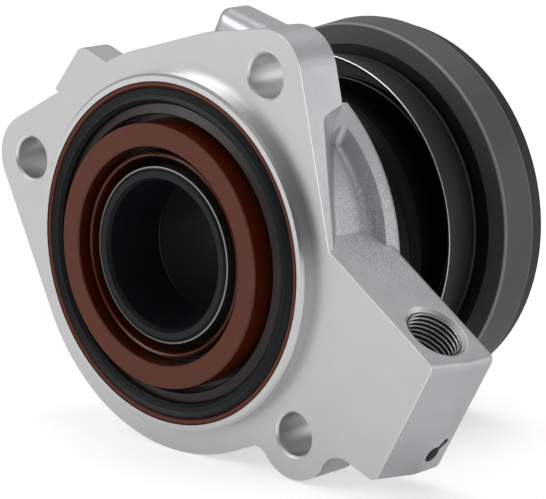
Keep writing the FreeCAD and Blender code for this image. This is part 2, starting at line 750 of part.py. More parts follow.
BORE_WAY = FreeCAD.Vector(0, 1, 0)
RIGHT = FreeCAD.Vector(1, 0, 0)
UP = FreeCAD.Vector(0, 0, 1)
_, HALF_CORNER, HALF_FOOT = block_corners("block_ridge_bulge / 2", "block_ridge_drop / 2")
LATE_NEAR, LATE_CORNER, LATE_FOOT = block_corners("block_rear_bulge", "block_rear_drop")
PLACES = [HALF_CORNER, HALF_FOOT, LATE_CORNER, LATE_FOOT]
corners = edges_along(housing.Shape, BORE_WAY, RIGHT, UP, PLACES, 0.5)
dress(housing, "Fillet", "block_corner_rounding", corners, "block_rounding")
lug_tops = [polar("left_lug_reach", "left_lug_angle"), polar("right_lug_reach", "right_lug_angle")]
corners = edges_along(housing.Shape, BORE_WAY, RIGHT, UP, lug_tops, 0.3)
dress(housing, "Fillet", "lug_top_rounding", corners, "lug_rounding")

HALF_NECK = ("(acos((body_radius ^ 2 + bolt_circle_radius ^ 2 - ear_radius ^ 2)"
             " / (2 * body_radius * bolt_circle_radius)) / 1deg)")
NECK = polar("body_radius", BOLTS["low"] + " - " + HALF_NECK)
neck = edges_along(housing.Shape, BORE_WAY, RIGHT, UP, [NECK])
dress(housing, "Fillet", "low_ear_neck", neck, "lower_neck_rounding")
LEFT_TOP = polar("left_lug_reach", "left_lug_angle")
LEFT_FOOT = polar("body_radius", "left_lug_near_angle")
lug_rear = face_edges(housing.Shape, size("left_lug_depth"), (LEFT_TOP, LEFT_FOOT))
dress(housing, "Fillet", "left_lug_rear_rounding", lug_rear, "lug_rear_rounding")
NEAR_TOP = polar("right_lug_reach", "right_lug_angle")
FAR_TOP = polar("right_lug_far_reach", "right_lug_far_angle")
for name, y in (("front", "right_lug_setback"), ("rear", "right_lug_setback + right_lug_depth")):
    crest = face_edges(housing.Shape, size(y), (NEAR_TOP, FAR_TOP))
    dress(housing, "Fillet", "right_lug_%s_rounding" % name, crest, "lug_rear_rounding")
block_rear = face_edges(housing.Shape, size("block_depth"), (LATE_NEAR, LATE_CORNER), (LATE_CORNER, LATE_FOOT))
dress(housing, "Fillet", "block_rear_rounding", block_rear, "block_rear_rounding")

# Bolt holes, their head seats and the arch under the port block
holes = front_sketch(housing, "bolt_hole_outline")
seats = front_sketch(housing, "head_seat_outline", "ear_depth")
for angle in BOLTS.values():
    circle_in(holes, *polar("bolt_circle_radius", angle), "bolt_hole_radius")
    circle_in(seats, *polar("bolt_circle_radius", angle), "head_seat_radius")
cut_back(housing, "bolt_holes", holes, "body_depth")
cut_back(housing, "head_seats", seats, "body_depth")
hole_mouths = circle_edges(housing.Shape, 0, size("bolt_hole_radius"))
dress(housing, "Chamfer", "bolt_hole_mouths", hole_mouths, "bolt_hole_chamfer")
arch = front_sketch(housing, "arch_outline")
circle_in(arch, "arch_x", "arch_z", "arch_radius")
cut_back(housing, "arch", arch, "body_depth")

# Pressure port, square to the sloping face, with its drillings to the chamber
PORT = beside(NEAR, "port_along_face", "-port_face_slope")
INWARD = "-(90 + port_face_slope)"
OUTWARD = "90 - port_face_slope"
bottom = beside(PORT, "port_thread_depth", INWARD)
drill(housing, "port_bore", "port_thread_radius", "port_thread_depth + cut_overrun",
      (bottom[0], "port_y", bottom[1]), "port_face_slope")
mouth = beside(PORT, "port_mouth_depth", INWARD)
drill(housing, "port_mouth", "port_thread_radius", "2 * port_mouth_depth",
      (mouth[0], "port_y", mouth[1]), "port_face_slope", "port_thread_radius + 2 * port_mouth_width")
seat = beside(bottom, "port_seat_depth", INWARD)
drill(housing, "port_seat", "drilling_radius", "port_seat_depth + cut_overlap", (seat[0], "port_y", seat[1]),
      "port_face_slope", "port_thread_radius")
inner_end = polar("chamber_radius - cut_overlap", "drilling_angle")
drill(housing, "cross_drilling", "drilling_radius", "drilling_reach + cut_overrun - chamber_radius",
      (inner_end[0], "drilling_y", inner_end[1]), "90 - drilling_angle")
meeting = beside(PORT, "port_drilling_depth", INWARD)
drill(housing, "port_drilling", "drilling_radius", "port_drilling_depth",
      (meeting[0], "drilling_y - port_drilling_shift", meeting[1]), "port_face_slope")

# Keyhole in the end face: a small round notch beside the drilling, joined to it by a slot
END = polar("drilling_reach", "drilling_angle")
NOTCH = beside(END, "notch_rise", "drilling_angle + 90")
notch_start = beside(NOTCH, "-notch_depth", "drilling_angle")
drill(housing, "notch", "notch_radius", "2 * notch_depth",
      (notch_start[0], "drilling_y + notch_setback", notch_start[1]), "90 - drilling_angle")
slot = sketch_on(housing, "notch_slot_outline", "YZ_Plane")
HALF_BACK = "notch_slot_width / 2 * notch_rise / sqrt(notch_rise ^ 2 + notch_setback ^ 2)"
HALF_RISE = "notch_slot_width / 2 * notch_setback / sqrt(notch_rise ^ 2 + notch_setback ^ 2)"
closed_outline(slot, [
    ("drilling_y - " + HALF_BACK, HALF_RISE),
    ("drilling_y + notch_setback - " + HALF_BACK, "notch_rise + " + HALF_RISE),
    ("drilling_y + notch_setback + " + HALF_BACK, "notch_rise - " + HALF_RISE),
    ("drilling_y + " + HALF_BACK, "-" + HALF_RISE),
])
slot.AttachmentOffset = FreeCAD.Placement(
    FreeCAD.Vector(0, 0, 0), FreeCAD.Rotation(FreeCAD.Vector(1, 0, 0), -10))
slot.setExpression("AttachmentOffset.Rotation.Angle", bound("-drilling_angle"))
slot.setExpression("AttachmentOffset.Base.y", bound("(drilling_reach - notch_depth) * sin(drilling_angle)"))
slot.setExpression("AttachmentOffset.Base.z", bound("(drilling_reach - notch_depth) * cos(drilling_angle)"))
cut_back(housing, "notch_slot", slot, "2 * notch_depth")

RING_MIDDLE = "chamber_floor - front_wall / 2"
HALF_SEAT = "(sleeve_ring_section / 2 + sleeve_ring_play)"
turned_cut(housing, "sleeve_ring_seat", [
    (RING_MIDDLE + " - " + HALF_SEAT, "sleeve_radius - sleeve_ring_bite"),
    (RING_MIDDLE + " + " + HALF_SEAT, "sleeve_radius - sleeve_ring_bite"),
    (RING_MIDDLE + " + " + HALF_SEAT, "sleeve_radius + sleeve_ring_section"),
    (RING_MIDDLE + " - " + HALF_SEAT, "sleeve_radius + sleeve_ring_section"),
])
PIECES = [housing]


# Turns a shape made round +Z so that it lies round the bore axis
AXIS_BACK = FreeCAD.Placement(FreeCAD.Vector(0, 0, 0), FreeCAD.Rotation(FreeCAD.Vector(1, 0, 0), -90))


def ring_piece(label, y, mean, section):
    """Ring of round section round the bore axis."""
    ring = doc.addObject("Part::Torus", label)
    ring.Label = label
    ring.setExpression("Radius1", bound(mean))
    ring.setExpression("Radius2", bound("(%s) / 2" % section))
    ring.Placement = AXIS_BACK
    ring.setExpression("Placement.Base.y", bound(y))
    doc.recompute()
    PIECES.append(ring)
    return ring


def turned_piece(label, corners):
    """Body with one turning."""
    body = new_body(label)
    turned(body, label, corners)
    PIECES.append(body)
    return body


# Steel guide sleeve, pressed through the housing's front wall up to its flange
MOUTH_END = "sleeve_front + sleeve_mouth_depth"
sleeve = turned_piece("guide_sleeve", [
    ("sleeve_front", "sleeve_mouth_radius"),
    ("sleeve_front", "sleeve_radius"),
    ("chamber_floor", "sleeve_radius"),
    ("chamber_floor", "sleeve_flange_radius"),
    ("chamber_floor + sleeve_flange_width", "sleeve_flange_radius"),
    ("chamber_floor + sleeve_flange_width", "sleeve_radius"),
    ("piston_end", "sleeve_radius"),
    ("piston_end", "sleeve_radius - stop_ring_groove"),
    ("piston_end + stop_ring_width", "sleeve_radius - stop_ring_groove"),
    ("piston_end + stop_ring_width", "sleeve_radius"),
    ("sleeve_end", "sleeve_radius"),
    ("sleeve_end", "sleeve_bore_radius"),
    (MOUTH_END, "sleeve_bore_radius"),
    (MOUTH_END, "sleeve_mouth_radius"),
])
ring_piece("sleeve_o_ring", RING_MIDDLE, "sleeve_radius + sleeve_ring_section / 2", "sleeve_ring_section")
turned_piece("stop_ring", [
    ("piston_end", "sleeve_radius - stop_ring_groove"),
    ("piston_end", "stop_ring_radius"),
    ("piston_end + stop_ring_width", "stop_ring_radius"),
    ("piston_end + stop_ring_width", "sleeve_radius - stop_ring_groove"),
])

# Black rubber lip seal in the sleeve's mouth, with the garter spring behind its lip
LIP_FRONT = "sleeve_front - lip_seal_proud"
lip_seal = turned_piece("sleeve_lip_seal", [
    (LIP_FRONT, "lip_front_radius + lip_seal_edge"),
    (LIP_FRONT, "sleeve_mouth_radius - lip_seal_edge"),
    ("sleeve_front + lip_seal_lead", "sleeve_mouth_radius"),
    ("sleeve_front + lip_seal_length", "sleeve_mouth_radius"),
    ("sleeve_front + lip_seal_length", "sleeve_mouth_radius - lip_seal_leg"),
    ("lip_base_y", "sleeve_mouth_radius - lip_seal_leg"),
    ("lip_base_y", "lip_back_radius"),
    ("lip_edge_y + lip_garter_section", "lip_back_radius"),
    ("lip_edge_y + lip_garter_section", "lip_throat_radius"),
    ("lip_edge_y", "lip_edge_radius"),
    ("lip_base_y", "lip_throat_radius"),
    ("sleeve_front + lip_seal_edge", "lip_front_radius"),
])
ring_piece("lip_seal_garter_spring", "lip_edge_y", "lip_back_radius + lip_garter_section / 2",
           "lip_garter_section")

# Seals in the recess of the machined face
turned_piece("rim_seal_ring", [
    ("-collar_height", "rim_seal_inner + shaft_seal_rounding"),
    ("-collar_height", "rim_seal_outer - shaft_seal_rounding"),
    ("-collar_height + shaft_seal_rounding", "rim_seal_outer"),
    ("recess_floor", "rim_seal_outer"),
    ("recess_floor", "rim_seal_inner"),
    ("-collar_height + shaft_seal_rounding", "rim_seal_inner"),
])
FACE_FRONT = "-collar_height - face_seal_proud"
turned_piece("face_seal_ring", [
    (FACE_FRONT + " + face_seal_lobe", "face_seal_inner"),
    (FACE_FRONT, "face_seal_inner + face_seal_lobe"),
    (FACE_FRONT + " + face_seal_lobe / 2", "(face_seal_inner + face_seal_outer) / 2"),
    (FACE_FRONT, "face_seal_outer - face_seal_lobe"),
    (FACE_FRONT + " + face_seal_lobe", "face_seal_outer"),
    ("recess_floor", "face_seal_outer"),
    ("recess_floor", "face_seal_inner"),
])
SEAL_BACK = "recess_floor - seal_insert_wall"
turned_piece("shaft_seal", [
    (SEAL_BACK, "shaft_seal_outer"),
    ("shaft_seal_flange_y + 2 * shaft_seal_rounding", "shaft_seal_outer"),
    ("shaft_seal_flange_y", "shaft_seal_channel_outer + shaft_seal_rounding"),
    ("shaft_seal_flange_y + shaft_seal_rounding", "shaft_seal_channel_outer"),
    ("shaft_seal_floor", "shaft_seal_channel_outer - shaft_seal_rounding"),
    ("shaft_seal_floor", "shaft_seal_ring_outer + shaft_seal_rounding"),
    ("shaft_seal_ring_front + shaft_seal_rounding", "shaft_seal_ring_outer"),
    ("shaft_seal_ring_front", "shaft_seal_ring_outer - shaft_seal_rounding"),
    ("shaft_seal_ring_front", "shaft_seal_ring_inner + shaft_seal_rounding"),
    ("shaft_seal_ring_front + shaft_seal_rounding", "shaft_seal_ring_inner"),
    ("shaft_seal_groove_floor", "shaft_seal_ring_inner"),
    ("shaft_seal_groove_floor", "shaft_seal_lip_outer"),
    ("shaft_seal_lip_front + shaft_seal_rounding", "shaft_seal_lip_outer"),
    ("shaft_seal_lip_front", "(shaft_seal_lip_outer + shaft_seal_lip_inner) / 2"),
    ("shaft_seal_lip_front + shaft_seal_rounding", "shaft_seal_lip_inner"),
    (SEAL_BACK, "shaft_seal_lip_inner"),
])
turned_piece("shaft_seal_insert", [
    (SEAL_BACK, "shaft_seal_lip_inner"),
    (SEAL_BACK, "shaft_seal_outer"),
    ("recess_floor", "shaft_seal_outer"),
    ("recess_floor", "shaft_seal_lip_inner"),
])
ring_piece("shaft_seal_garter_spring", "shaft_seal_groove_floor - seal_garter_section / 2",
           "shaft_seal_lip_outer + seal_garter_section / 2", "seal_garter_section")

# Annular piston on the sleeve, its lip seal, and the clip that keeps the bearing on its nose
BORE = "sleeve_radius + piston_clearance"
SKIRT = "chamber_radius - piston_clearance"
turned_piece("piston", [
    ("piston_front", BORE),
    ("piston_front", SKIRT),
    ("piston_flange_start", SKIRT),
    ("piston_flange_start", "piston_flange_radius"),
    ("flange_end", "piston_flange_radius"),
    ("flange_end", "piston_nose_radius"),
    ("race_end", "piston_nose_radius"),
    ("race_end", "piston_nose_radius - piston_clip_groove"),
    ("race_end + piston_clip_width", "piston_nose_radius - piston_clip_groove"),
    ("race_end + piston_clip_width", "piston_nose_radius"),
    ("piston_end", "piston_nose_radius"),
    ("piston_end", BORE),
])
SEAL_BORE = "sleeve_radius + piston_seal_clearance"
SEAL_SKIRT = "chamber_radius - piston_seal_clearance"
SEAL_FRONT = "piston_front - piston_seal_length"
turned_piece("piston_seal", [
    (SEAL_FRONT, SEAL_BORE),
    (SEAL_FRONT, SEAL_BORE + " + piston_seal_lip / 2"),
    ("piston_front - piston_seal_length / 2", SEAL_BORE + " + piston_seal_lip"),
    ("piston_front - piston_seal_length / 2", SEAL_SKIRT + " - piston_seal_lip"),
    (SEAL_FRONT, SEAL_SKIRT + " - piston_seal_lip / 2"),
    (SEAL_FRONT, SEAL_SKIRT),
    ("piston_front", SEAL_SKIRT),
    ("piston_front", SEAL_BORE),
])
turned_piece("piston_clip", [
    ("race_end", "piston_nose_radius - piston_clip_groove"),
    ("race_end", "piston_clip_radius"),
    ("race_end + piston_clip_width", "piston_clip_radius"),
    ("race_end + piston_clip_width", "piston_nose_radius - piston_clip_groove"),
])

# Pressed cup between piston flange and inner race, open towards the housing
turned_piece("bearing_cup", [
    ("cup_rim_y", "cup_rim_radius"),
    ("race_start", "cup_corner_radius"),
    ("race_start", "piston_nose_radius"),
    ("flange_end", "piston_nose_radius"),
    ("flange_end", "cup_corner_radius - cup_wall"),
    ("cup_rim_y", "cup_rim_radius - cup_wall"),
])

# Release bearing: inner race on the piston nose, balls in a cage, outer race with the contact face
def raceway(body, name):
    """Ball groove cut round a race."""
    before = body.Shape.Volume
    groove = body.newObject("PartDesign::SubtractiveTorus", name)
    groove.setExpression("Radius1", bound("ball_pitch_radius"))
    groove.setExpression("Radius2", bound("ball_radius + ball_clearance"))
    groove.Placement = AXIS_BACK
    groove.setExpression("Placement.Base.y", bound("ball_middle"))
    doc.recompute()
    must_lose(body, before, name)


inner_race = turned_piece("inner_race", [
    ("race_start", "piston_nose_radius"),
    ("race_start", "inner_race_shoulder"),
    ("race_end", "inner_race_shoulder"),
    ("race_end", "piston_nose_radius"),
])
raceway(inner_race, "inner_raceway")
WEB_FRONT = "race_rear - race_contact_wall"
SHIELD_START = "race_front + front_seal_setback"
SHIELD_END = SHIELD_START + " + seal_ring_width"
outer_race = turned_piece("outer_race", [
    ("race_front", "race_inner_radius"),
    ("race_front", "race_front_radius - race_edge_chamfer"),
    ("race_front + race_edge_chamfer", "race_front_radius"),
    ("race_step_y - race_edge_chamfer", "race_flare_radius"),
    ("race_step_y", "race_flare_radius - race_edge_chamfer"),
    ("race_step_y", "race_step_radius"),
    ("race_rear - race_edge_chamfer - race_contact_crown", "race_step_radius - race_taper"),
    ("race_rear - race_contact_crown", "race_step_radius - race_taper - race_edge_chamfer"),
    ("race_rear", "(race_step_radius + race_contact_inner) / 2"),
    ("race_rear - race_contact_crown", "race_contact_inner + race_edge_chamfer"),
    ("race_rear - race_edge_chamfer - race_contact_crown", "race_contact_inner"),
    (WEB_FRONT, "race_contact_inner"),
    (WEB_FRONT, "outer_race_shoulder"),
    (SHIELD_END, "outer_race_shoulder"),
    (SHIELD_END, "race_inner_radius"),
])
raceway(outer_race, "outer_raceway")
turned_piece("front_bearing_seal", [
    (SHIELD_START, "inner_race_shoulder + seal_ring_clearance"),
    (SHIELD_START, "race_inner_radius"),
    (SHIELD_END, "race_inner_radius"),
    (SHIELD_END, "inner_race_shoulder + seal_ring_clearance"),
])
turned_piece("rear_bearing_seal", [
    ("race_rear - rear_seal_setback - seal_ring_width", "rear_seal_inner"),
    ("race_rear - rear_seal_setback - seal_ring_width", "race_contact_inner"),
    ("race_rear - rear_seal_setback", "race_contact_inner"),
    ("race_rear - rear_seal_setback", "rear_seal_inner"),
])
cage = turned_piece("ball_cage", [
    ("ball_middle - cage_half_width", "ball_pitch_radius - cage_wall / 2"),
    ("ball_middle - cage_half_width", "ball_pitch_radius + cage_wall / 2"),
    ("ball_middle + cage_half_width", "ball_pitch_radius + cage_wall / 2"),
    ("ball_middle + cage_half_width", "ball_pitch_radius - cage_wall / 2"),
])
window = cage.newObject("PartDesign::SubtractiveCylinder", "cage_window")
window.setExpression("Radius", bound("ball_radius + cage_clearance"))
window.setExpression("Height", bound("ball_pitch_radius + cage_wall"))
window.setExpression("Placement.Base.y", bound("ball_middle"))
doc.recompute()
windows = cage.newObject("PartDesign::PolarPattern", "cage_windows")
windows.Originals = [window]
turning = [item for item in cage.Origin.OriginFeatures if item.Role == "Y_Axis"][0]
windows.Axis = (turning, [""])
windows.Angle = 360
windows.setExpression("Occurrences", bound("ball_count"))
cage.Tip = windows
doc.recompute()


def solid_piece(label, shape):
    """Piece whose shape is worked out from the sheet."""
    piece = doc.addObject("Part::Feature", label)
    piece.Label = label
    piece.Shape = shape
    PIECES.append(piece)
    return piece


balls = []
for place in range(round(size("ball_count"))):
    angle = 2 * math.pi * place / size("ball_count") + math.pi / 2
    centre = FreeCAD.Vector(math.cos(angle), 0, math.sin(angle)) * size("ball_pitch_radius")
    centre.y = size("ball_middle")
    balls.append(Part.makeSphere(size("ball_radius"), centre))
solid_piece("bearing_balls", Part.makeCompound(balls))

# Ball pressed into the outer end of the cross drilling
plug = doc.addObject("Part::Sphere", "drilling_plug")
plug.Label = "drilling_plug"
plug.setExpression("Radius", bound("drilling_radius"))
PLUG = polar("drilling_reach - plug_inset", "drilling_angle")
plug.setExpression("Placement.Base.x", bound(PLUG[0]))
plug.setExpression("Placement.Base.y", bound("drilling_y"))
plug.setExpression("Placement.Base.z", bound(PLUG[1]))
PIECES.append(plug)


def spring_shape():
    """Wire spring between the housing's ledge and the piston's flange, its end turns closed."""
    wire = size("spring_wire_radius")
    start = size("spring_ledge_end + spring_wire_radius")
    end = size("piston_flange_start - spring_wire_radius")
    turns = size("spring_turns")
    points = []
    count = round(turns * 12)
    for place in range(count + 1):
        share = place / count
        angle = 2 * math.pi * turns * share
        # Closed end turns: the wire climbs slowly at both ends and fast in the middle
        climb = share - math.sin(2 * math.pi * share) / (2 * math.pi)
        radius = size("spring_radius")
        points.append(FreeCAD.Vector(radius * math.cos(angle), start + (end - start) * climb,
                                     radius * math.sin(angle)))
    line = Part.BSplineCurve()
    line.interpolate(points)
    along = line.tangent(line.FirstParameter)[0]
    section = Part.Wire([Part.Circle(points[0], along, wire).toShape()])
    return Part.Wire([line.toShape()]).makePipeShell([section], True, False)


solid_piece("preload_spring", spring_shape())

# Rubber gaiter: a cuff on the housing's ledge, one fold that sags under its weight, a cuff on the piston's
# flange
gaiter = new_body("gaiter")
PIECES.append(gaiter)
FRONT_CUFF = "spring_ledge_radius + gaiter_wall"
REAR_CUFF = "piston_flange_radius + gaiter_cuff_play + gaiter_wall"
STATIONS = [
    ("spring_ledge_end - gaiter_cuff_length", FRONT_CUFF, "0"),
    ("spring_ledge_end", FRONT_CUFF, "0"),
    ("spring_ledge_end + gaiter_shoulder_length", "spring_ledge_radius + gaiter_shoulder_rise",
     "-gaiter_shoulder_sag"),
    ("spring_ledge_end + gaiter_fold_length", "spring_ledge_radius + gaiter_fold_rise", "-gaiter_fold_sag"),
    ("piston_flange_start - gaiter_neck_length", "piston_flange_radius + gaiter_neck_rise",
     "-gaiter_neck_sag"),
    ("piston_flange_start", REAR_CUFF, "0"),
    ("piston_flange_start + gaiter_cuff_length", REAR_CUFF, "0"),
]
for kind, inset in (("AdditiveLoft", "0"), ("SubtractiveLoft", "gaiter_wall")):
    rings = []
    for number, (y, radius, drop) in enumerate(STATIONS):
        ring = front_sketch(gaiter, "gaiter_%s_ring_%d" % (kind.lower(), number), y)
        circle_in(ring, "0", drop, "(%s) - (%s)" % (radius, inset))
        rings.append(ring)
    before = gaiter.Shape.Volume if kind == "SubtractiveLoft" else 0
    loft = gaiter.newObject("PartDesign::" + kind, "gaiter_" + kind.lower())
    loft.Profile = (rings[0], [""])
    loft.Sections = [(ring, [""]) for ring in rings[1:]]
    loft.Ruled = False
    doc.recompute()
    if before:
        must_lose(gaiter, before, "gaiter_hollow")

# Every feature has to be whole before a piece is written
doc.recompute()
for item in doc.Objects:
    if "Invalid" in item.State or "Error" in item.State:
        raise RuntimeError("failed feature: " + item.Name)
os.makedirs("parts", exist_ok=True)
for piece in PIECES:
    if piece.Shape.isNull() or not piece.Shape.isValid():
        raise RuntimeError("bad shape: " + piece.Label)
    piece.Shape.exportStep("parts/%s.step" % piece.Label)
    print(piece.Label, len(piece.Shape.Solids), round(piece.Shape.Volume))
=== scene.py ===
"""Concentric slave cylinder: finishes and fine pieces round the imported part.

Metres. +Y runs along the bore from the gearbox to the release bearing, +Z is up."""

import math

import bpy
import numpy as np
from mathutils import Matrix, Vector


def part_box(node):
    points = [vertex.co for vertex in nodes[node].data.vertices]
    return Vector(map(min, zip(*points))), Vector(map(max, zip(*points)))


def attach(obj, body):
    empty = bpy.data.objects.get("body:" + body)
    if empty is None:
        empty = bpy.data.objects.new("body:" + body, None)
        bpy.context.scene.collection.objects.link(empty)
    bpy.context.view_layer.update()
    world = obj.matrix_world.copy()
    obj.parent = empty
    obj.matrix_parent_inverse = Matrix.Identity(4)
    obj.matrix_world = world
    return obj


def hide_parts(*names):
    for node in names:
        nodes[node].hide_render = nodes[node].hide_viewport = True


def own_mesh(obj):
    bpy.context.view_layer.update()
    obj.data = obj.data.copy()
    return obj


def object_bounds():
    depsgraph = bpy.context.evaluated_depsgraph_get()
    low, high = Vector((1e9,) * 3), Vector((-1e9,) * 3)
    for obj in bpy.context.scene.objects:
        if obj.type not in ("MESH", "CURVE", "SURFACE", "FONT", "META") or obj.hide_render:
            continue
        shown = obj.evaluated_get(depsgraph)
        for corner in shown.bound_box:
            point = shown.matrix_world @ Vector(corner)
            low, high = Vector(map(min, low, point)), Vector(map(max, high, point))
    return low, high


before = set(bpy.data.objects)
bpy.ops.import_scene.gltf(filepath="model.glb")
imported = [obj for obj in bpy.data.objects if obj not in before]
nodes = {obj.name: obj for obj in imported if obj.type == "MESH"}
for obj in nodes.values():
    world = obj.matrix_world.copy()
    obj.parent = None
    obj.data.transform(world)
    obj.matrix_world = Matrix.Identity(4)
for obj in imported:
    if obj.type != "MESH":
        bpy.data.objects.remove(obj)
cad_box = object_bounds()
MM = 0.001


# Viewpoint: the long lens that the picture was taken with, a little above the cylinder's front right side.
camera_data = bpy.data.cameras.new("long_lens")
camera_data.sensor_width = 36.0
camera_data.lens = 197.8
camera_data.clip_start = 0.05
camera_data.clip_end = 20.0
camera = bpy.data.objects.new("viewpoint", camera_data)
bpy.context.scene.collection.objects.link(camera)
camera_right = Vector((0.7383, 0.6744, 0.0096)).normalized()
camera_back = -Vector((-0.6565, 0.7219, -0.2189)).normalized()
camera_up = camera_back.cross(camera_right).normalized()
turned_view = Matrix((camera_right, camera_up, camera_back)).transposed().to_4x4()
camera.matrix_world = Matrix.Translation((0.3878, -0.3996, 0.1255)) @ turned_view
bpy.context.scene.camera = camera
bpy.context.scene.view_settings.view_transform = "Standard"


# Floor: a white sheet of paper that the cylinder lies on, lit by the soft lamps, with its shadow on it.
def srgb(code):
    """Linear colour for an sRGB hex code: each channel goes through the inverse of the sRGB curve."""
    channels = [int(code[place:place + 2], 16) / 255 for place in (1, 3, 5)]
    return [c / 12.92 if c <= 0.04045 else ((c + 0.055) / 1.055) ** 2.4 for c in channels] + [1.0]


def add(tree, kind, settings=None, values=None, links=None):
    """Adds a node of a kind to a tree: its settings, the values of its sockets, and the outputs it reads."""
    made = tree.nodes.new(kind)
    for name, value in (settings or {}).items():
        setattr(made, name, value)
    for name, value in (values or {}).items():
        made.inputs[name].default_value = value
    for name, output in (links or {}).items():
        tree.links.new(output, made.inputs[name])
    return made


floor_z = cad_box[0].z
paper = bpy.data.materials.new("white background paper, matt")
paper.use_nodes = True
tree = paper.node_tree
tree.nodes.clear()
seen = add(tree, "ShaderNodeLightPath").outputs["Is Camera Ray"]
whiter = add(tree, "ShaderNodeMapRange", values={"To Min": 0.24, "To Max": 0.55},
             links={"Value": seen}).outputs[0]
paper_skin = add(tree, "ShaderNodeBsdfDiffuse", values={"Color": srgb("#DCDCDC")})
paper_glow = add(tree, "ShaderNodeEmission", values={"Color": srgb("#FFFFFF")}, links={"Strength": whiter})
paper_both = add(tree, "ShaderNodeAddShader", links={0: paper_skin.outputs[0], 1: paper_glow.outputs[0]})
add(tree, "ShaderNodeOutputMaterial", links={"Surface": paper_both.outputs[0]})
floor_mesh = bpy.data.meshes.new("floor")
reach = 3.0
floor_mesh.from_pydata([(-reach, -reach, floor_z), (reach, -reach, floor_z), (reach, reach, floor_z),
                        (-reach, reach, floor_z)], [], [(0, 1, 2, 3)])
floor_mesh.materials.append(paper)
floor = bpy.data.objects.new("floor", floor_mesh)
bpy.context.scene.collection.objects.link(floor)


# Studio light: a pale tent all round with a darker side behind the lens, and three soft boxes.
studio = bpy.data.worlds.new("pale studio tent")
studio.use_nodes = True
bpy.context.scene.world = studio
tree = studio.node_tree
tree.nodes.clear()
direction = add(tree, "ShaderNodeTexCoord")
height = add(tree, "ShaderNodeSeparateXYZ", links={0: direction.outputs["Generated"]})
tent = add(tree, "ShaderNodeMapRange",
           values={"From Min": -0.1, "From Max": 0.9, "To Min": 0.46, "To Max": 0.5},
           links={"Value": height.outputs["Z"]})
lens_side = add(tree, "ShaderNodeVectorMath", {"operation": "DOT_PRODUCT"}, {1: (0.64, -0.74, 0.2)},
                {0: direction.outputs["Generated"]})
lens_dark = add(tree, "ShaderNodeMapRange",
                values={"From Min": 0.7, "From Max": 1.0, "To Min": 1.0, "To Max": 0.25},
                links={"Value": lens_side.outputs["Value"]})
tent_level = add(tree, "ShaderNodeMath", {"operation": "MULTIPLY"},
                 links={0: tent.outputs[0], 1: lens_dark.outputs[0]})
tent_light = add(tree, "ShaderNodeBackground", values={"Color": srgb("#FFFFFF")},
                 links={"Strength": tent_level.outputs[0]})
white_back = add(tree, "ShaderNodeBackground", values={"Color": srgb("#FFFFFF"), "Strength": 1.0})
seen = add(tree, "ShaderNodeLightPath")
tent_or_white = add(tree, "ShaderNodeMixShader", links={0: seen.outputs["Is Camera Ray"],
                                                        1: tent_light.outputs[0], 2: white_back.outputs[0]})
add(tree, "ShaderNodeOutputWorld", links={"Surface": tent_or_white.outputs[0]})


def soft_box(name, place, target, side, power):
    """Square area lamp at a place, turned to a target point, with a side in metres and a power in watts."""
    lamp = bpy.data.lights.new(name, "AREA")
    lamp.shape = "SQUARE"
    lamp.size = side
    lamp.energy = power
    lamp_object = bpy.data.objects.new(name, lamp)
    bpy.context.scene.collection.objects.link(lamp_object)
    lamp_object.location = place
    lamp_object.rotation_euler = (Vector(place) - Vector(target)).to_track_quat("Z", "Y").to_euler()


soft_box("soft_box_left", (-0.55, -0.75, 0.5), (0, 0.02, 0), 0.6, 3.9)
soft_box("soft_box_top", (0.05, 0.2, 0.95), (0, 0.02, 0), 0.6, 2.9)
soft_box("soft_box_right", (0.75, 0.7, 0.2), (0, 0.02, 0), 0.5, 0.8)


# Cast housing: one pressure die casting in aluminium silicon alloy. The collar and mounting face are turned,
# the bolt holes, head seats, port and recess are machined, and the rest keeps its casting skin.
def start_material(name):
    """New material with its shader, and the place on the piece in millimetres: whole, flat in the front view,
    its distance from the bore axis, and y."""
    made = bpy.data.materials.new(name)
    made.use_nodes = True
    tree = made.node_tree
    raw = add(tree, "ShaderNodeTexCoord").outputs["Object"]
    place = add(tree, "ShaderNodeVectorMath", {"operation": "SCALE"}, {"Scale": 1 / MM},
                {0: raw}).outputs[0]
    flat = add(tree, "ShaderNodeVectorMath", {"operation": "MULTIPLY"}, {1: (1, 0, 1)},
               {0: place}).outputs[0]
    radius = add(tree, "ShaderNodeVectorMath", {"operation": "LENGTH"}, links={0: flat}).outputs["Value"]
    y = add(tree, "ShaderNodeSeparateXYZ", links={0: place}).outputs["Y"]
    return made, tree, tree.nodes["Principled BSDF"], place, flat, radius, y


def wear(pieces, material):
    """Gives pieces their finish."""
    for piece in pieces:
        piece.data.materials.clear()
        piece.data.materials.append(material)


# Bolt axes and the port's axis in the front view, where the tools have cut into the casting
BOLT_RADIUS = 42.5
BOLT_ANGLES = (58.8, 162.7, -45.1)
PORT_MOUTH = np.array((56.69, 8.6, -6.893))
PORT_WAY = np.array((0.56928, 0.0, 0.82214))

# Keyhole in the block's end face, from the drilling's mouth to the notch
SLOT_START = (62.04 * math.cos(math.radians(-30.7)), 12.2, 62.04 * math.sin(math.radians(-30.7)))
SLOT_LENGTH = math.hypot(2.5, 2.3)
SLOT_WAY = (2.5 / SLOT_LENGTH * math.sin(math.radians(30.7)), 2.3 / SLOT_LENGTH,
            2.5 / SLOT_LENGTH * math.cos(math.radians(30.7)))

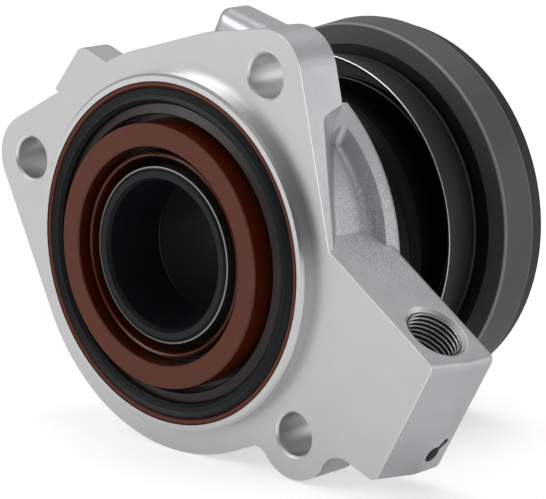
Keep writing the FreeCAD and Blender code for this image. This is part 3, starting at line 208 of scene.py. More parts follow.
# Die-cast aluminium: pale grey and softly mottled, pitted in the side pocket, satin where machined
casting, tree, shader, place, flat, radius, y = start_material(
    "die cast aluminium, satin skin, turned face")
masks = [
    add(tree, "ShaderNodeMapRange", values={"From Min": 0.03, "From Max": 0.08, "To Min": 1, "To Max": 0},
        links={"Value": y}).outputs[0],
    add(tree, "ShaderNodeMapRange", values={"From Min": 33.02, "From Max": 33.08, "To Min": 1, "To Max": 0},
        links={"Value": radius}).outputs[0]]
for angle in np.radians(BOLT_ANGLES):
    centre = (BOLT_RADIUS * np.cos(angle), 0.0, BOLT_RADIUS * np.sin(angle))
    away = add(tree, "ShaderNodeVectorMath", {"operation": "DISTANCE"}, {1: centre},
               {0: flat}).outputs["Value"]
    in_hole = add(tree, "ShaderNodeMapRange",
                  values={"From Min": 4.12, "From Max": 4.2, "To Min": 1, "To Max": 0},
                  links={"Value": away}).outputs[0]
    by_seat = add(tree, "ShaderNodeMapRange",
                  values={"From Min": 7.5, "From Max": 7.6, "To Min": 1, "To Max": 0},
                  links={"Value": away}).outputs[0]
    past_ear = add(tree, "ShaderNodeMapRange", values={"From Min": 9.9, "From Max": 9.99},
                   links={"Value": y}).outputs[0]
    on_seat = add(tree, "ShaderNodeMath", {"operation": "MULTIPLY"},
                  links={0: by_seat, 1: past_ear}).outputs[0]
    in_chamfer = add(tree, "ShaderNodeMapRange",
                     values={"From Min": 4.55, "From Max": 4.7, "To Min": 1, "To Max": 0},
                     links={"Value": away}).outputs[0]
    by_mouth = add(tree, "ShaderNodeMapRange",
                   values={"From Min": 0.5, "From Max": 0.6, "To Min": 1, "To Max": 0},
                   links={"Value": y}).outputs[0]
    on_chamfer = add(tree, "ShaderNodeMath", {"operation": "MULTIPLY"},
                     links={0: in_chamfer, 1: by_mouth}).outputs[0]
    masks += [in_hole, on_seat, on_chamfer]
from_mouth = add(tree, "ShaderNodeVectorMath", {"operation": "SUBTRACT"}, {1: tuple(PORT_MOUTH)},
                 {0: place})
across_port = add(tree, "ShaderNodeVectorMath", {"operation": "CROSS_PRODUCT"}, {1: tuple(PORT_WAY)},
                  {0: from_mouth.outputs[0]}).outputs[0]
off_port = add(tree, "ShaderNodeVectorMath", {"operation": "LENGTH"},
               links={0: across_port}).outputs["Value"]
masks.append(add(tree, "ShaderNodeMapRange",
                 values={"From Min": 6.42, "From Max": 6.5, "To Min": 1, "To Max": 0},
                 links={"Value": off_port}).outputs[0])
machined = masks[0]
for mask in masks[1:]:
    machined = add(tree, "ShaderNodeMath", {"operation": "MAXIMUM"},
                   links={0: machined, 1: mask}).outputs[0]

# Casting skin: fine pits about 0.3 mm wide over soft swells of 2.5 mm, and flow marks 8 mm wide
skin_grain = add(tree, "ShaderNodeTexNoise", values={"Scale": 3.2, "Detail": 4.0, "Roughness": 0.6},
                 links={"Vector": place}).outputs[0]
skin_swell = add(tree, "ShaderNodeTexNoise", values={"Scale": 0.4, "Detail": 2.0},
                 links={"Vector": place}).outputs[0]
flow_marks = add(tree, "ShaderNodeTexNoise", values={"Scale": 0.12, "Detail": 3.0},
                 links={"Vector": place}).outputs[0]
# The pits are deep only in the side pocket and on the rib behind it, as the photograph shows
pocket_middle = (40.0, 15.5, 9.0)
from_pocket = add(tree, "ShaderNodeVectorMath", {"operation": "DISTANCE"}, {1: pocket_middle}, {0: place})
pitted = add(tree, "ShaderNodeMapRange",
             values={"From Min": 9.0, "From Max": 19.0, "To Min": 1.0, "To Max": 0.12},
             links={"Value": from_pocket.outputs["Value"]}).outputs[0]
# Turning marks of the face: rings 0.16 mm apart, drawn a little coarser than the tool leaves them
ring_place = add(tree, "ShaderNodeCombineXYZ", links={"X": radius, "Y": y}).outputs[0]
turning = add(tree, "ShaderNodeTexNoise", values={"Scale": 6.0, "Detail": 2.0},
              links={"Vector": ring_place}).outputs[0]

skin_share = add(tree, "ShaderNodeMapRange", values={"From Min": 0.35, "From Max": 0.66},
                 links={"Value": skin_grain}).outputs[0]
pit_share = add(tree, "ShaderNodeMix", {"data_type": "FLOAT"}, {2: 0.6},
                {0: pitted, 3: skin_share}).outputs[0]
skin_colour = add(tree, "ShaderNodeMix", {"data_type": "RGBA"}, {6: srgb("#9C9DA0"), 7: srgb("#D2D3D4")},
                  {0: pit_share}).outputs[2]
flow_share = add(tree, "ShaderNodeMapRange", values={"From Min": 0.35, "From Max": 0.65, "To Max": 0.5},
                 links={"Value": flow_marks}).outputs[0]
skin_colour = add(tree, "ShaderNodeMix", {"data_type": "RGBA"}, {7: srgb("#C9CACB")},
                  {0: flow_share, 6: skin_colour}).outputs[2]
face_colour = add(tree, "ShaderNodeMix", {"data_type": "RGBA"}, {6: srgb("#C8C8C8"), 7: srgb("#D4D3D3")},
                  {0: turning}).outputs[2]
face_colour = add(tree, "ShaderNodeMix", {"data_type": "RGBA"}, {7: srgb("#D2D2D2")},
                  {0: flow_share, 6: face_colour}).outputs[2]
colour = add(tree, "ShaderNodeMix", {"data_type": "RGBA"},
             links={0: machined, 6: skin_colour, 7: face_colour})
# Painted highlight: a white line is painted on the side walls in the first 0.3 mm behind the face's edge
past_face = add(tree, "ShaderNodeMapRange", values={"From Min": 0.03, "From Max": 0.06},
                links={"Value": y}).outputs[0]
past_line = add(tree, "ShaderNodeMapRange", values={"From Min": 0.22, "From Max": 0.32},
                links={"Value": y}).outputs[0]
painted_edge_highlight = add(tree, "ShaderNodeMath", {"operation": "SUBTRACT"},
                  links={0: past_face, 1: past_line}).outputs[0]
colour = add(tree, "ShaderNodeMix", {"data_type": "RGBA"}, {7: srgb("#FFFFFF")},
             {0: painted_edge_highlight, 6: colour.outputs[2]})
# The housing is painted nearly black inside radius 24 mm, on the wall behind the seals and in the bore
dark_tone = add(tree, "ShaderNodeMapRange",
             values={"From Min": 23.0, "From Max": 24.0, "To Min": 1, "To Max": 0},
          links={"Value": radius}).outputs[0]
colour = add(tree, "ShaderNodeMix", {"data_type": "RGBA"}, {7: srgb("#1D1512")},
             {0: dark_tone, 6: colour.outputs[2]})
# The slot between the drilling and the small notch isn't open on the solid: painted shade stands in for it
# here, nearly black
slot_place = add(tree, "ShaderNodeVectorMath", {"operation": "SUBTRACT"}, {1: SLOT_START},
                 {0: place}).outputs[0]
along_slot = add(tree, "ShaderNodeVectorMath", {"operation": "DOT_PRODUCT"}, {1: SLOT_WAY}, {0: slot_place})
in_slot = add(tree, "ShaderNodeMath", {"operation": "COMPARE"}, {1: SLOT_LENGTH / 2, 2: SLOT_LENGTH / 2},
              {0: along_slot.outputs["Value"]}).outputs[0]
off_slot = add(tree, "ShaderNodeVectorMath", {"operation": "CROSS_PRODUCT"}, {1: SLOT_WAY},
               {0: slot_place}).outputs[0]
off_slot = add(tree, "ShaderNodeVectorMath", {"operation": "LENGTH"}, links={0: off_slot}).outputs["Value"]
by_slot = add(tree, "ShaderNodeMapRange",
              values={"From Min": 0.5, "From Max": 0.6, "To Min": 1, "To Max": 0},
              links={"Value": off_slot}).outputs[0]
painted_slot_shade = add(tree, "ShaderNodeMath", {"operation": "MULTIPLY"}, links={0: in_slot, 1: by_slot}).outputs[0]
colour = add(tree, "ShaderNodeMix", {"data_type": "RGBA"}, {7: srgb("#151412")},
             {0: painted_slot_shade, 6: colour.outputs[2]})
tree.links.new(colour.outputs[2], shader.inputs["Base Color"])
skin_rough = add(tree, "ShaderNodeMapRange", values={"To Min": 0.5, "To Max": 0.38},
                 links={"Value": pit_share})
face_rough = add(tree, "ShaderNodeMapRange", values={"To Min": 0.34, "To Max": 0.42},
                 links={"Value": turning})
rough = add(tree, "ShaderNodeMix", {"data_type": "FLOAT"},
            links={0: machined, 2: skin_rough.outputs[0], 3: face_rough.outputs[0]}).outputs[0]
# The collar shines more than the face
fine = add(tree, "ShaderNodeMapRange",
           values={"From Min": -0.04, "From Max": -0.01, "To Min": 1, "To Max": 0},
           links={"Value": y}).outputs[0]
rough = add(tree, "ShaderNodeMix", {"data_type": "FLOAT"}, {3: 0.2}, {0: fine, 2: rough}).outputs[0]
tree.links.new(rough, shader.inputs["Roughness"])
shader.inputs["Metallic"].default_value = 1.0
pit_height = add(tree, "ShaderNodeMath", {"operation": "MULTIPLY"},
                 links={0: skin_grain, 1: pitted}).outputs[0]
pit_height = add(tree, "ShaderNodeMath", {"operation": "MULTIPLY"}, {1: 0.1}, {0: pit_height}).outputs[0]
skin_height = add(tree, "ShaderNodeMath", {"operation": "MULTIPLY_ADD"}, {1: 0.08},
                  {0: skin_swell, 2: pit_height})
face_height = add(tree, "ShaderNodeMath", {"operation": "MULTIPLY"}, {1: 0.004}, {0: turning})
height = add(tree, "ShaderNodeMix", {"data_type": "FLOAT"},
             links={0: machined, 2: skin_height.outputs[0], 3: face_height.outputs[0]})
bump = add(tree, "ShaderNodeBump", values={"Strength": 0.8, "Distance": 0.001},
           links={"Height": height.outputs[0]})
tree.links.new(bump.outputs[0], shader.inputs["Normal"])
wear([nodes["housing"]], casting)


# Thread of the pressure port: a metric fine thread of pitch 1 mm, tapped into the block for the pipe's nut.
def surface(name, grid, round_rows=False, round_columns=True, caps=False, smooth=True):
    """Mesh through a grid of points: rows by columns by three. Each four neighbours make one face, rows and
    columns may close on themselves, and caps close both end rows with a fan round their middle."""
    rows, columns = grid.shape[:2]
    number = np.arange(rows * columns).reshape(rows, columns)
    row_count = rows if round_rows else rows - 1
    column_count = columns if round_columns else columns - 1
    row = np.arange(row_count)[:, None]
    column = np.arange(column_count)[None, :]
    faces = np.stack([number[row, column], number[row, (column + 1) % columns],
                      number[(row + 1) % rows, (column + 1) % columns], number[(row + 1) % rows,
                                                                               column]], -1)
    faces = faces.reshape(-1, 4)
    points = grid.reshape(-1, 3)
    corners = points[faces]
    middle = points.mean(0)
    volume = np.einsum("ij,ij->i", corners[:, 0] - middle,
                       np.cross(corners[:, 1] - middle, corners[:, 2] - middle))
    volume += np.einsum("ij,ij->i", corners[:, 0] - middle,
                        np.cross(corners[:, 2] - middle, corners[:, 3] - middle))
    turned_out = volume.sum() > 0
    all_faces = (faces if turned_out else faces[:, ::-1]).tolist()
    if caps:
        first, last = rows * columns, rows * columns + 1
        points = np.vstack([points, grid[0].mean(0), grid[-1].mean(0)])
        here, after = number[0], np.roll(number[0], -1)
        start_fan = np.stack([after, here, np.full(columns, first)], -1)
        here, after = number[-1], np.roll(number[-1], -1)
        end_fan = np.stack([here, after, np.full(columns, last)], -1)
        fans = np.vstack([start_fan, end_fan])
        all_faces += (fans if turned_out else fans[:, ::-1]).tolist()
    mesh = bpy.data.meshes.new(name)
    mesh.from_pydata(points.tolist(), [], all_faces)
    mesh.polygons.foreach_set("use_smooth", np.full(len(all_faces), smooth))
    mesh.update()
    made = bpy.data.objects.new(name, mesh)
    bpy.context.scene.collection.objects.link(made)
    return made


def thread_grid(crest, root, pitch, depth, start, angles, steps):
    """Points of a thread inside a bore. The wall's radius runs between crest and root as a blunted wave of
    (depth / pitch - angle / full turn), so it climbs one pitch each turn; the outside is a plain tube."""
    turn = np.linspace(0, 2 * np.pi, angles, endpoint=False)[:, None]
    deep = np.linspace(0, depth, steps)[None, :]
    phase = (deep / pitch - turn / (2 * np.pi)) % 1.0
    wave = np.clip(2.0 * np.abs(2.0 * phase - 1.0) - 0.5, 0, 1)
    fade = np.clip((depth - deep) / pitch, 0, 1)
    inner = root - (root - crest) * wave * fade
    back = np.linspace(depth, 0, 3)[None, :]
    radius_all = np.hstack([inner, np.full((angles, 3), root + 0.02)])
    deep_all = np.hstack([np.repeat(deep, angles, 0), np.repeat(back, angles, 0)]) + start
    side_one = np.array((0.0, 1.0, 0.0))
    side_two = np.cross(PORT_WAY, side_one)
    across = np.cos(turn)[..., None] * side_one + np.sin(turn)[..., None] * side_two
    return (PORT_MOUTH - deep_all[..., None] * PORT_WAY + radius_all[..., None] * across) * MM


thread = surface("port_thread", thread_grid(4.98, 5.47, 1.0, 10.6, 0.9, 96, 128), round_rows=True)
# Tapped aluminium: pale crests, and painted shade darkening the roots between them
tapped, tree, shader, place, flat, radius, y = start_material("tapped aluminium, painted shade in the roots")
tool_marks = add(tree, "ShaderNodeTexNoise", values={"Scale": 3.0, "Detail": 3.0},
                 links={"Vector": place}).outputs[0]
from_mouth = add(tree, "ShaderNodeVectorMath", {"operation": "SUBTRACT"}, {1: tuple(PORT_MOUTH)},
                 {0: place})
across_port = add(tree, "ShaderNodeVectorMath", {"operation": "CROSS_PRODUCT"}, {1: tuple(PORT_WAY)},
                  {0: from_mouth.outputs[0]}).outputs[0]
off_port = add(tree, "ShaderNodeVectorMath", {"operation": "LENGTH"},
               links={0: across_port}).outputs["Value"]
painted_root_shade = add(tree, "ShaderNodeMapRange", values={"From Min": 5.05, "From Max": 5.35},
                     links={"Value": off_port}).outputs[0]
crest = add(tree, "ShaderNodeMix", {"data_type": "RGBA"}, {6: srgb("#B4B4B4"), 7: srgb("#D6D6D6")},
            {0: tool_marks}).outputs[2]
colour = add(tree, "ShaderNodeMix", {"data_type": "RGBA"}, {7: srgb("#3E3D3B")},
             {0: painted_root_shade, 6: crest}).outputs[2]
tree.links.new(colour, shader.inputs["Base Color"])
rough = add(tree, "ShaderNodeMapRange", values={"To Min": 0.2, "To Max": 0.36}, links={"Value": tool_marks})
tree.links.new(rough.outputs[0], shader.inputs["Roughness"])
shader.inputs["Metallic"].default_value = 1.0
wear([thread], tapped)
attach(thread, "housing_body")


# Guide sleeve: seamless drawn steel tube, pressed into the housing; its ground outside guides the piston.
sleeve_steel, tree, shader, place, flat, radius, y = start_material(
    "drawn steel, phosphated, painted edge highlight")
drawn_place = add(tree, "ShaderNodeVectorMath", {"operation": "MULTIPLY"}, {1: (1, 0.06, 1)},
                  {0: place}).outputs[0]
drawn = add(tree, "ShaderNodeTexNoise", values={"Scale": 1.1, "Detail": 3.0},
            links={"Vector": drawn_place}).outputs[0]
# Dark in the bore and at the front, as in the photograph; the hidden guiding length is taken to be bright
outside = add(tree, "ShaderNodeMapRange", values={"From Min": 16.7, "From Max": 16.9},
              links={"Value": radius})
behind = add(tree, "ShaderNodeMapRange", values={"From Min": 9.0, "From Max": 9.5}, links={"Value": y})
guiding = add(tree, "ShaderNodeMath", {"operation": "MULTIPLY"},
              links={0: outside.outputs[0], 1: behind.outputs[0]})
# Painted highlight: the front edge is painted bright steel, most of all on its right and upper side
sleeve_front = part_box("guide_sleeve")[0].y / MM
edge = add(tree, "ShaderNodeMapRange",
           values={"From Min": sleeve_front + 0.1, "From Max": sleeve_front + 0.2,
                                               "To Min": 1, "To Max": 0}, links={"Value": y})
highlight_side = add(tree, "ShaderNodeVectorMath", {"operation": "DOT_PRODUCT"}, {1: (0.05, 0.0, 0.03)},
                  {0: flat})
painted_highlight = add(tree, "ShaderNodeMapRange", values={"From Min": -0.8, "From Max": 0.5, "To Min": 0.15},
             links={"Value": highlight_side.outputs["Value"]})
edge = add(tree, "ShaderNodeMath", {"operation": "MULTIPLY"},
           links={0: edge.outputs[0], 1: painted_highlight.outputs[0]})
edge = add(tree, "ShaderNodeMath", {"operation": "MULTIPLY"},
           links={0: edge.outputs[0], 1: outside.outputs[0]})
bright = add(tree, "ShaderNodeMath", {"operation": "MAXIMUM"},
             links={0: guiding.outputs[0], 1: edge.outputs[0]})
coat = add(tree, "ShaderNodeMix", {"data_type": "RGBA"}, {6: srgb("#2A2A28"), 7: srgb("#383733")},
           {0: drawn})
steel = add(tree, "ShaderNodeMix", {"data_type": "RGBA"}, {6: srgb("#9C9DA0"), 7: srgb("#BBBCBE")},
            {0: drawn})
colour = add(tree, "ShaderNodeMix", {"data_type": "RGBA"},
             links={0: bright.outputs[0], 6: coat.outputs[2], 7: steel.outputs[2]})
tree.links.new(colour.outputs[2], shader.inputs["Base Color"])
tree.links.new(bright.outputs[0], shader.inputs["Metallic"])
rough = add(tree, "ShaderNodeMapRange",
            values={"From Min": 0.3, "From Max": 0.7, "To Min": 0.34, "To Max": 0.4},
            links={"Value": drawn})
tree.links.new(rough.outputs[0], shader.inputs["Roughness"])
wear([nodes["guide_sleeve"], nodes["shaft_seal_insert"]], sleeve_steel)


# Springs: patented spring wire, and punched spring steel for the stop ring and the clip.
spring_steel, tree, shader, place, flat, radius, y = start_material("spring steel wire, oil hardened")
scale_cloud = add(tree, "ShaderNodeTexNoise", values={"Scale": 1.1, "Detail": 3.0},
                  links={"Vector": place}).outputs[0]
colour = add(tree, "ShaderNodeMix", {"data_type": "RGBA"}, {6: srgb("#4A4B4E"), 7: srgb("#6C6D70")},
             {0: scale_cloud})
tree.links.new(colour.outputs[2], shader.inputs["Base Color"])
rough = add(tree, "ShaderNodeMapRange", values={"To Min": 0.28, "To Max": 0.45},
            links={"Value": scale_cloud})
tree.links.new(rough.outputs[0], shader.inputs["Roughness"])
shader.inputs["Metallic"].default_value = 1.0
wear([nodes["stop_ring"], nodes["piston_clip"]], spring_steel)


def wire_grid(centres, way, side, wire_radius, columns):
    """Points of a round wire: at each centre a circle of the wire's radius, across the wire's way."""
    other = np.cross(way, side)
    other /= np.linalg.norm(other, axis=-1, keepdims=True)
    turn = np.linspace(0, 2 * np.pi, columns, endpoint=False)[None, :, None]
    return centres[:, None] + wire_radius * (np.cos(turn) * side[:, None] + np.sin(turn) * other[:, None])


def garter_spring(name, y, ring_radius, section_radius, wire_radius, body):
    """Coil spring closed into a ring: the wire turns round a circle that itself runs round the bore axis."""
    turns = round(2 * np.pi * ring_radius / (2.3 * wire_radius))
    share = np.linspace(0, 1, turns * 8, endpoint=False)
    ring, coil = 2 * np.pi * share, 2 * np.pi * turns * share
    lift = section_radius - wire_radius
    outward = np.stack([np.cos(ring), np.zeros_like(ring), np.sin(ring)], -1)
    axis = np.array((0.0, 1.0, 0.0))
    side = np.cos(coil)[:, None] * outward + np.sin(coil)[:, None] * axis
    centres = ring_radius * outward + lift * side + np.array((0.0, y, 0.0))
    way = np.roll(centres, -1, 0) - np.roll(centres, 1, 0)
    made = surface(name, wire_grid(centres, way, side, wire_radius, 5) * MM, round_rows=True)
    wear([made], spring_steel)
    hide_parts(name.replace("_coils", ""))
    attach(made, body)
    return made


garter_spring("lip_seal_garter_spring_coils", 7.8, 14.45, 0.53, 0.13, "housing_body")
garter_spring("shaft_seal_garter_spring_coils", -0.45, 20.15, 0.43, 0.11, "housing_body")


# Preload spring: one wire with closed end turns, between the housing's ledge and the piston's flange.
def preload_grid(wire, coil_radius, start, end, turns, steps, columns):
    """Points of the spring's wire. The coil turns at an even rate, and its climb is share minus
    sin(2 pi share) / 2 pi, slow at both ends and fast in the middle, so the end turns lie flat."""
    share = np.linspace(0, 1, steps)
    turn = 2 * np.pi * turns * share
    climb = share - np.sin(2 * np.pi * share) / (2 * np.pi)
    side = np.stack([np.cos(turn), np.zeros_like(turn), np.sin(turn)], -1)
    centres = coil_radius * side + np.stack([0 * turn, start + (end - start) * climb, 0 * turn], -1)
    way = np.gradient(centres, axis=0)
    return wire_grid(centres, way, side, wire, columns) * MM


coil = surface("preload_spring_wire", preload_grid(0.9, 24.8, 23.4, 45.1, 4.5, 432, 20), caps=True)
wear([coil], spring_steel)
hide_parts("preload_spring")
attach(coil, "housing_body")
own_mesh(coil)


# Sealing rubbers in the face: a black ring with two lips in a brown one, both moulded, in the recess.
black_rubber, tree, shader, place, flat, radius, y = start_material("nitrile rubber, moulded, satin")
bloom = add(tree, "ShaderNodeTexNoise", values={"Scale": 0.35, "Detail": 4.0},
            links={"Vector": place}).outputs[0]
grain = add(tree, "ShaderNodeTexNoise", values={"Scale": 7.0, "Detail": 2.0},
            links={"Vector": place}).outputs[0]
colour = add(tree, "ShaderNodeMix", {"data_type": "RGBA"}, {6: srgb("#0F1113"), 7: srgb("#191B1E")},
             {0: bloom})
tree.links.new(colour.outputs[2], shader.inputs["Base Color"])
rough = add(tree, "ShaderNodeMapRange", values={"To Min": 0.34, "To Max": 0.52}, links={"Value": bloom})
tree.links.new(rough.outputs[0], shader.inputs["Roughness"])
bump = add(tree, "ShaderNodeBump", values={"Strength": 0.25, "Distance": 0.0002}, links={"Height": grain})
tree.links.new(bump.outputs[0], shader.inputs["Normal"])
shader.inputs["IOR"].default_value = 1.3
wear([nodes[name] for name in ("face_seal_ring", "sleeve_lip_seal", "sleeve_o_ring", "piston_seal",
                               "front_bearing_seal", "rear_bearing_seal")], black_rubber)

brown_rubber, tree, shader, place, flat, radius, y = start_material(
    "fluorocarbon rubber, matt face, glossy walls")
bloom = add(tree, "ShaderNodeTexNoise", values={"Scale": 0.5, "Detail": 4.0},
            links={"Vector": place}).outputs[0]
grain = add(tree, "ShaderNodeTexNoise", values={"Scale": 6.0, "Detail": 2.0},
            links={"Vector": place}).outputs[0]
# The front faces of the ring and rim are matt and the walls behind them glossy; the walls are also painted a
# darker brown, which is painted shade
front = add(tree, "ShaderNodeMapRange",
            values={"From Min": -5.95, "From Max": -5.8, "To Min": 1, "To Max": 0},
            links={"Value": y}).outputs[0]
rim = add(tree, "ShaderNodeMapRange", values={"From Min": 31.9, "From Max": 31.95},
          links={"Value": radius}).outputs[0]
matt_faces = add(tree, "ShaderNodeMath", {"operation": "MAXIMUM"}, links={0: front, 1: rim}).outputs[0]
# Painted shade: the flange between the channel and the black ring is painted nearly black
past_channel = add(tree, "ShaderNodeMapRange", values={"From Min": 26.6, "From Max": 26.7},
                   links={"Value": radius}).outputs[0]
off_floor = add(tree, "ShaderNodeMapRange",
                values={"From Min": -2.3, "From Max": -1.8, "To Min": 1, "To Max": 0},
                links={"Value": y}).outputs[0]
flange = add(tree, "ShaderNodeMath", {"operation": "MULTIPLY"},
             links={0: past_channel, 1: off_floor}).outputs[0]
flange = add(tree, "ShaderNodeMath", {"operation": "SUBTRACT", "use_clamp": True},
             links={0: flange, 1: rim}).outputs[0]
matt = add(tree, "ShaderNodeMix", {"data_type": "RGBA"}, {6: srgb("#54230F"), 7: srgb("#602A15")},
           {0: bloom}).outputs[2]
dark_tone = add(tree, "ShaderNodeMix", {"data_type": "RGBA"}, {6: srgb("#401505"), 7: srgb("#521F0A")},
             {0: bloom}).outputs[2]
colour = add(tree, "ShaderNodeMix", {"data_type": "RGBA"},
             links={0: matt_faces, 6: dark_tone, 7: matt}).outputs[2]
colour = add(tree, "ShaderNodeMix", {"data_type": "RGBA"}, {7: srgb("#1E100B")},
             {0: flange, 6: colour}).outputs[2]
tree.links.new(colour, shader.inputs["Base Color"])
rough = add(tree, "ShaderNodeMapRange", values={"To Min": 0.1, "To Max": 0.6},
            links={"Value": matt_faces}).outputs[0]
rough = add(tree, "ShaderNodeMix", {"data_type": "FLOAT"}, {3: 0.26}, {0: flange, 2: rough}).outputs[0]
tree.links.new(rough, shader.inputs["Roughness"])
bump = add(tree, "ShaderNodeBump", values={"Strength": 0.2, "Distance": 0.0002}, links={"Height": grain})
tree.links.new(bump.outputs[0], shader.inputs["Normal"])
shader.inputs["IOR"].default_value = 1.42
wear([nodes["rim_seal_ring"], nodes["shaft_seal"]], brown_rubber)


# Piston and cage: nylon filled with glass fibre, injection moulded, nearly black.
nylon, tree, shader, place, flat, radius, y = start_material("glass filled nylon, moulded")
fibre = add(tree, "ShaderNodeTexNoise", values={"Scale": 2.2, "Detail": 4.0},
            links={"Vector": place}).outputs[0]
colour = add(tree, "ShaderNodeMix", {"data_type": "RGBA"}, {6: srgb("#131312"), 7: srgb("#1E1E1A")},
             {0: fibre})
tree.links.new(colour.outputs[2], shader.inputs["Base Color"])
rough = add(tree, "ShaderNodeMapRange", values={"To Min": 0.33, "To Max": 0.52}, links={"Value": fibre})
tree.links.new(rough.outputs[0], shader.inputs["Roughness"])
shader.inputs["IOR"].default_value = 1.53
wear([nodes["piston"], nodes["ball_cage"]], nylon)


# Gaiter: a thin moulded rubber sleeve over the spring, held by its cuffs on the housing and the piston. Its
# fold sags a little. It lies further forward than the solid's, so that it clears the cup; the sleeve keeps
# one shape and rides on the housing.
def gaiter_grid(wall, columns, steps):
    """Points of the sleeve. Along y the ring's radius and its drop follow smooth curves through the
    stations, plus a bead of height e^(-(distance / width)^2) at each bead's y. The closed profile runs out
    along the outer side and back along the inner side, one wall deeper."""
    y_at = np.array((19.9, 22.5, 29.0, 31.5, 34.6, 40.0, 46.0, 48.6))
    radius_at = np.array((29.6, 29.6, 30.9, 31.0, 30.2, 29.3, 28.1, 28.1))
    drop_at = np.array((0.0, 0.0, 3.2, 4.2, 2.5, 1.4, 0.0, 0.0))
    slope_radius = np.gradient(radius_at, y_at)
    slope_drop = np.gradient(drop_at, y_at)
    y = np.linspace(y_at[0], y_at[-1], steps)
    span = np.clip(np.searchsorted(y_at, y, side="right") - 1, 0, len(y_at) - 2)
    width = y_at[span + 1] - y_at[span]
    t = (y - y_at[span]) / width

    def through(value, slope):
        """Cubic through two stations with the slopes at both."""
        return ((1 + 2 * t) * (1 - t) ** 2 * value[span] + t * (1 - t) ** 2 * width * slope[span]
                + t * t * (3 - 2 * t) * value[span + 1] + t * t * (t - 1) * width * slope[span + 1])

    radius_out = through(radius_at, slope_radius)
    for bead_y, bead_height in ((32.4, 0.45), (35.6, 0.5)):
        radius_out = radius_out + bead_height * np.exp(-((y - bead_y) / 0.45) ** 2)
    drop = through(drop_at, slope_drop)
    profile_y = np.concatenate([y, y[::-1]])
    profile_radius = np.concatenate([radius_out, radius_out[::-1] - wall])
    profile_drop = np.concatenate([drop, drop[::-1]])
    turn = np.linspace(0, 2 * np.pi, columns, endpoint=False)[None, :]
    x = profile_radius[:, None] * np.cos(turn)
    z = profile_radius[:, None] * np.sin(turn) - profile_drop[:, None]
    return np.stack([x, np.repeat(profile_y[:, None], columns, 1), z], -1) * MM


sleeve = surface("gaiter_sleeve", gaiter_grid(0.8, 144, 150), round_rows=True)
gaiter_rubber, tree, shader, place, flat, radius, y = start_material(
    "chloroprene rubber, thin moulding, silky")
bloom = add(tree, "ShaderNodeTexNoise", values={"Scale": 0.3, "Detail": 4.0},
            links={"Vector": place}).outputs[0]
colour = add(tree, "ShaderNodeMix", {"data_type": "RGBA"}, {6: srgb("#060505"), 7: srgb("#0C0A09")},
             {0: bloom})
tree.links.new(colour.outputs[2], shader.inputs["Base Color"])
rough = add(tree, "ShaderNodeMapRange", values={"To Min": 0.45, "To Max": 0.6}, links={"Value": bloom})
tree.links.new(rough.outputs[0], shader.inputs["Roughness"])
shader.inputs["IOR"].default_value = 1.2
wear([sleeve], gaiter_rubber)
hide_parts("gaiter")
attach(sleeve, "housing_body")
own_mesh(sleeve)


# Bearing cup: deep drawn sheet steel, blackened. Its trimmed rim shines, and a wire ring clamps the gaiter's
# rear cuff inside it.
cup_steel, tree, shader, place, flat, radius, y = start_material(
    "blackened sheet steel, painted highlight at the bend")
oxide = add(tree, "ShaderNodeTexNoise", values={"Scale": 0.6, "Detail": 4.0},
            links={"Vector": place}).outputs[0]
cup_low, cup_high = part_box("bearing_cup")
# Painted highlight: a pale line is painted along the bend at the cup's bearing end
bend_y = cup_high.y / MM - 0.8
from_bend = add(tree, "ShaderNodeMath", {"operation": "SUBTRACT"}, {1: bend_y}, {0: y}).outputs[0]
off_bend = add(tree, "ShaderNodeMath", {"operation": "ABSOLUTE"}, links={0: from_bend}).outputs[0]
bend = add(tree, "ShaderNodeMapRange",
           values={"From Min": 0.0, "From Max": 0.4, "To Min": 0.35, "To Max": 0.0},
           links={"Value": off_bend}).outputs[0]
black = add(tree, "ShaderNodeMix", {"data_type": "RGBA"}, {6: srgb("#161616"), 7: srgb("#262625")},
            {0: oxide}).outputs[2]
colour = add(tree, "ShaderNodeMix", {"data_type": "RGBA"}, {7: srgb("#9A9A98")},
             {0: bend, 6: black}).outputs[2]
tree.links.new(colour, shader.inputs["Base Color"])
rough = add(tree, "ShaderNodeMapRange", values={"To Min": 0.36, "To Max": 0.5}, links={"Value": oxide})
tree.links.new(rough.outputs[0], shader.inputs["Roughness"])
shader.inputs["Metallic"].default_value = 0.2
wear([nodes["bearing_cup"]], cup_steel)


def ring_grid(y, ring_radius, wire_radius, steps, columns):
    """Points of a round wire bent into a ring: a circle round the bore axis at y."""
    turn = np.linspace(0, 2 * np.pi, steps, endpoint=False)
    side = np.stack([np.cos(turn), 0 * turn, np.sin(turn)], -1)
    way = np.stack([-np.sin(turn), 0 * turn, np.cos(turn)], -1)
    return wire_grid(ring_radius * side + np.array((0.0, y, 0.0)), way, side, wire_radius, columns) * MM


bright_steel, tree, shader, place, flat, radius, y = start_material("trimmed steel edge, bright")
burnish = add(tree, "ShaderNodeTexNoise", values={"Scale": 1.4, "Detail": 3.0},
              links={"Vector": place}).outputs[0]
colour = add(tree, "ShaderNodeMix", {"data_type": "RGBA"}, {6: srgb("#C4C4C2"), 7: srgb("#F0F0EE")},
             {0: burnish})
tree.links.new(colour.outputs[2], shader.inputs["Base Color"])
rough = add(tree, "ShaderNodeMapRange", values={"To Min": 0.2, "To Max": 0.34}, links={"Value": burnish})
tree.links.new(rough.outputs[0], shader.inputs["Roughness"])
shader.inputs["Metallic"].default_value = 1.0
rim_edge = surface("cup_rim_edge", ring_grid(cup_low.y / MM, cup_high.x / MM - 0.25, 0.2, 240, 10),
                   round_rows=True)
wear([rim_edge], bright_steel)
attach(rim_edge, "piston_body")
clamp = surface("gaiter_clamp", ring_grid(46.6, 28.25, 0.22, 200, 10), round_rows=True)
wear([clamp], spring_steel)
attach(clamp, "piston_body")


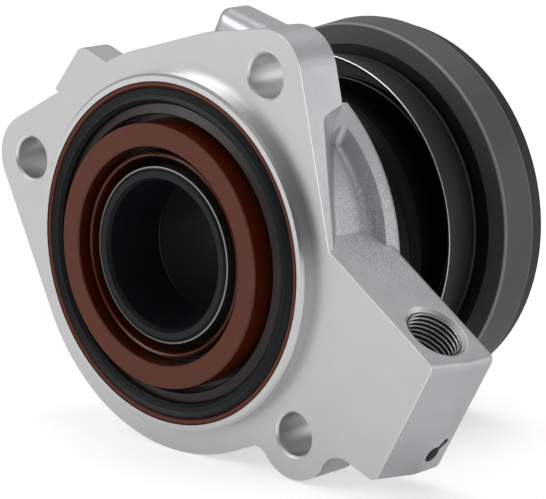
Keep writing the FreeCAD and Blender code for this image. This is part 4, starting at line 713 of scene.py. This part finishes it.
# Release bearing: through-hardened steel rings, turned and ground. The outer race keeps a dark heat-treatment
# skin; the inner race, the balls and the ball in the drilling are taken to be bright.
race_steel, tree, shader, place, flat, radius, y = start_material(
    "hardened bearing steel, dark turned skin")
ring_place = add(tree, "ShaderNodeCombineXYZ", links={"X": radius, "Y": y}).outputs[0]
turned_lines = add(tree, "ShaderNodeTexNoise", values={"Scale": 5.0, "Detail": 2.0},
                   links={"Vector": ring_place}).outputs[0]
skin = add(tree, "ShaderNodeTexNoise", values={"Scale": 0.9, "Detail": 4.0},
           links={"Vector": place}).outputs[0]
both = add(tree, "ShaderNodeMath", {"operation": "ADD"}, links={0: turned_lines, 1: skin}).outputs[0]
both = add(tree, "ShaderNodeMath", {"operation": "MULTIPLY"}, {1: 0.5}, {0: both}).outputs[0]
oxide = add(tree, "ShaderNodeMix", {"data_type": "RGBA"}, {6: srgb("#484847"), 7: srgb("#5C5C5A")},
            {0: both}).outputs[2]
# Painted highlights: light lines run along the front corner and the step. Painted shade: the race is darkest
# behind the step
race_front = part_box("outer_race")[0].y / MM
corner = add(tree, "ShaderNodeMapRange", values={"From Min": 38.0, "From Max": 38.3},
             links={"Value": radius}).outputs[0]
by_front = add(tree, "ShaderNodeMapRange",
               values={"From Min": race_front + 0.45, "From Max": race_front + 0.6,
                                                   "To Min": 1, "To Max": 0}, links={"Value": y}).outputs[0]
corner = add(tree, "ShaderNodeMath", {"operation": "MULTIPLY"}, links={0: corner, 1: by_front}).outputs[0]
step_y = race_front + 8.1
before_step = add(tree, "ShaderNodeMapRange", values={"From Min": step_y - 0.6, "From Max": step_y - 0.4},
                  links={"Value": y}).outputs[0]
painted_shade_past_step = add(tree, "ShaderNodeMapRange", values={"From Min": step_y - 0.05, "From Max": step_y + 0.1},
                links={"Value": y}).outputs[0]
on_step = add(tree, "ShaderNodeMath", {"operation": "SUBTRACT"},
              links={0: before_step, 1: painted_shade_past_step}).outputs[0]
painted_highlight = add(tree, "ShaderNodeMath", {"operation": "MAXIMUM"}, links={0: corner, 1: on_step}).outputs[0]
colour = add(tree, "ShaderNodeMix", {"data_type": "RGBA"}, {7: srgb("#1C1C1C")},
             {0: painted_shade_past_step, 6: oxide}).outputs[2]
colour = add(tree, "ShaderNodeMix", {"data_type": "RGBA"}, {7: srgb("#8E8E8C")},
             {0: painted_highlight, 6: colour}).outputs[2]
tree.links.new(colour, shader.inputs["Base Color"])
rough = add(tree, "ShaderNodeMapRange", values={"To Min": 0.4, "To Max": 0.56}, links={"Value": both})
tree.links.new(rough.outputs[0], shader.inputs["Roughness"])
shader.inputs["Metallic"].default_value = 0.3
bump = add(tree, "ShaderNodeBump", values={"Strength": 0.15, "Distance": 0.0002},
           links={"Height": turned_lines})
tree.links.new(bump.outputs[0], shader.inputs["Normal"])
wear([nodes["outer_race"]], race_steel)

ground_steel, tree, shader, place, flat, radius, y = start_material("ground bearing steel, bright")
oil = add(tree, "ShaderNodeTexNoise", values={"Scale": 0.8, "Detail": 3.0},
          links={"Vector": place}).outputs[0]
colour = add(tree, "ShaderNodeMix", {"data_type": "RGBA"}, {6: srgb("#A8A8A8"), 7: srgb("#C0C0C0")},
             {0: oil})
tree.links.new(colour.outputs[2], shader.inputs["Base Color"])
rough = add(tree, "ShaderNodeMapRange", values={"To Min": 0.1, "To Max": 0.22}, links={"Value": oil})
tree.links.new(rough.outputs[0], shader.inputs["Roughness"])
shader.inputs["Metallic"].default_value = 1.0
wear([nodes["inner_race"], nodes["bearing_balls"], nodes["drilling_plug"]], ground_steel)
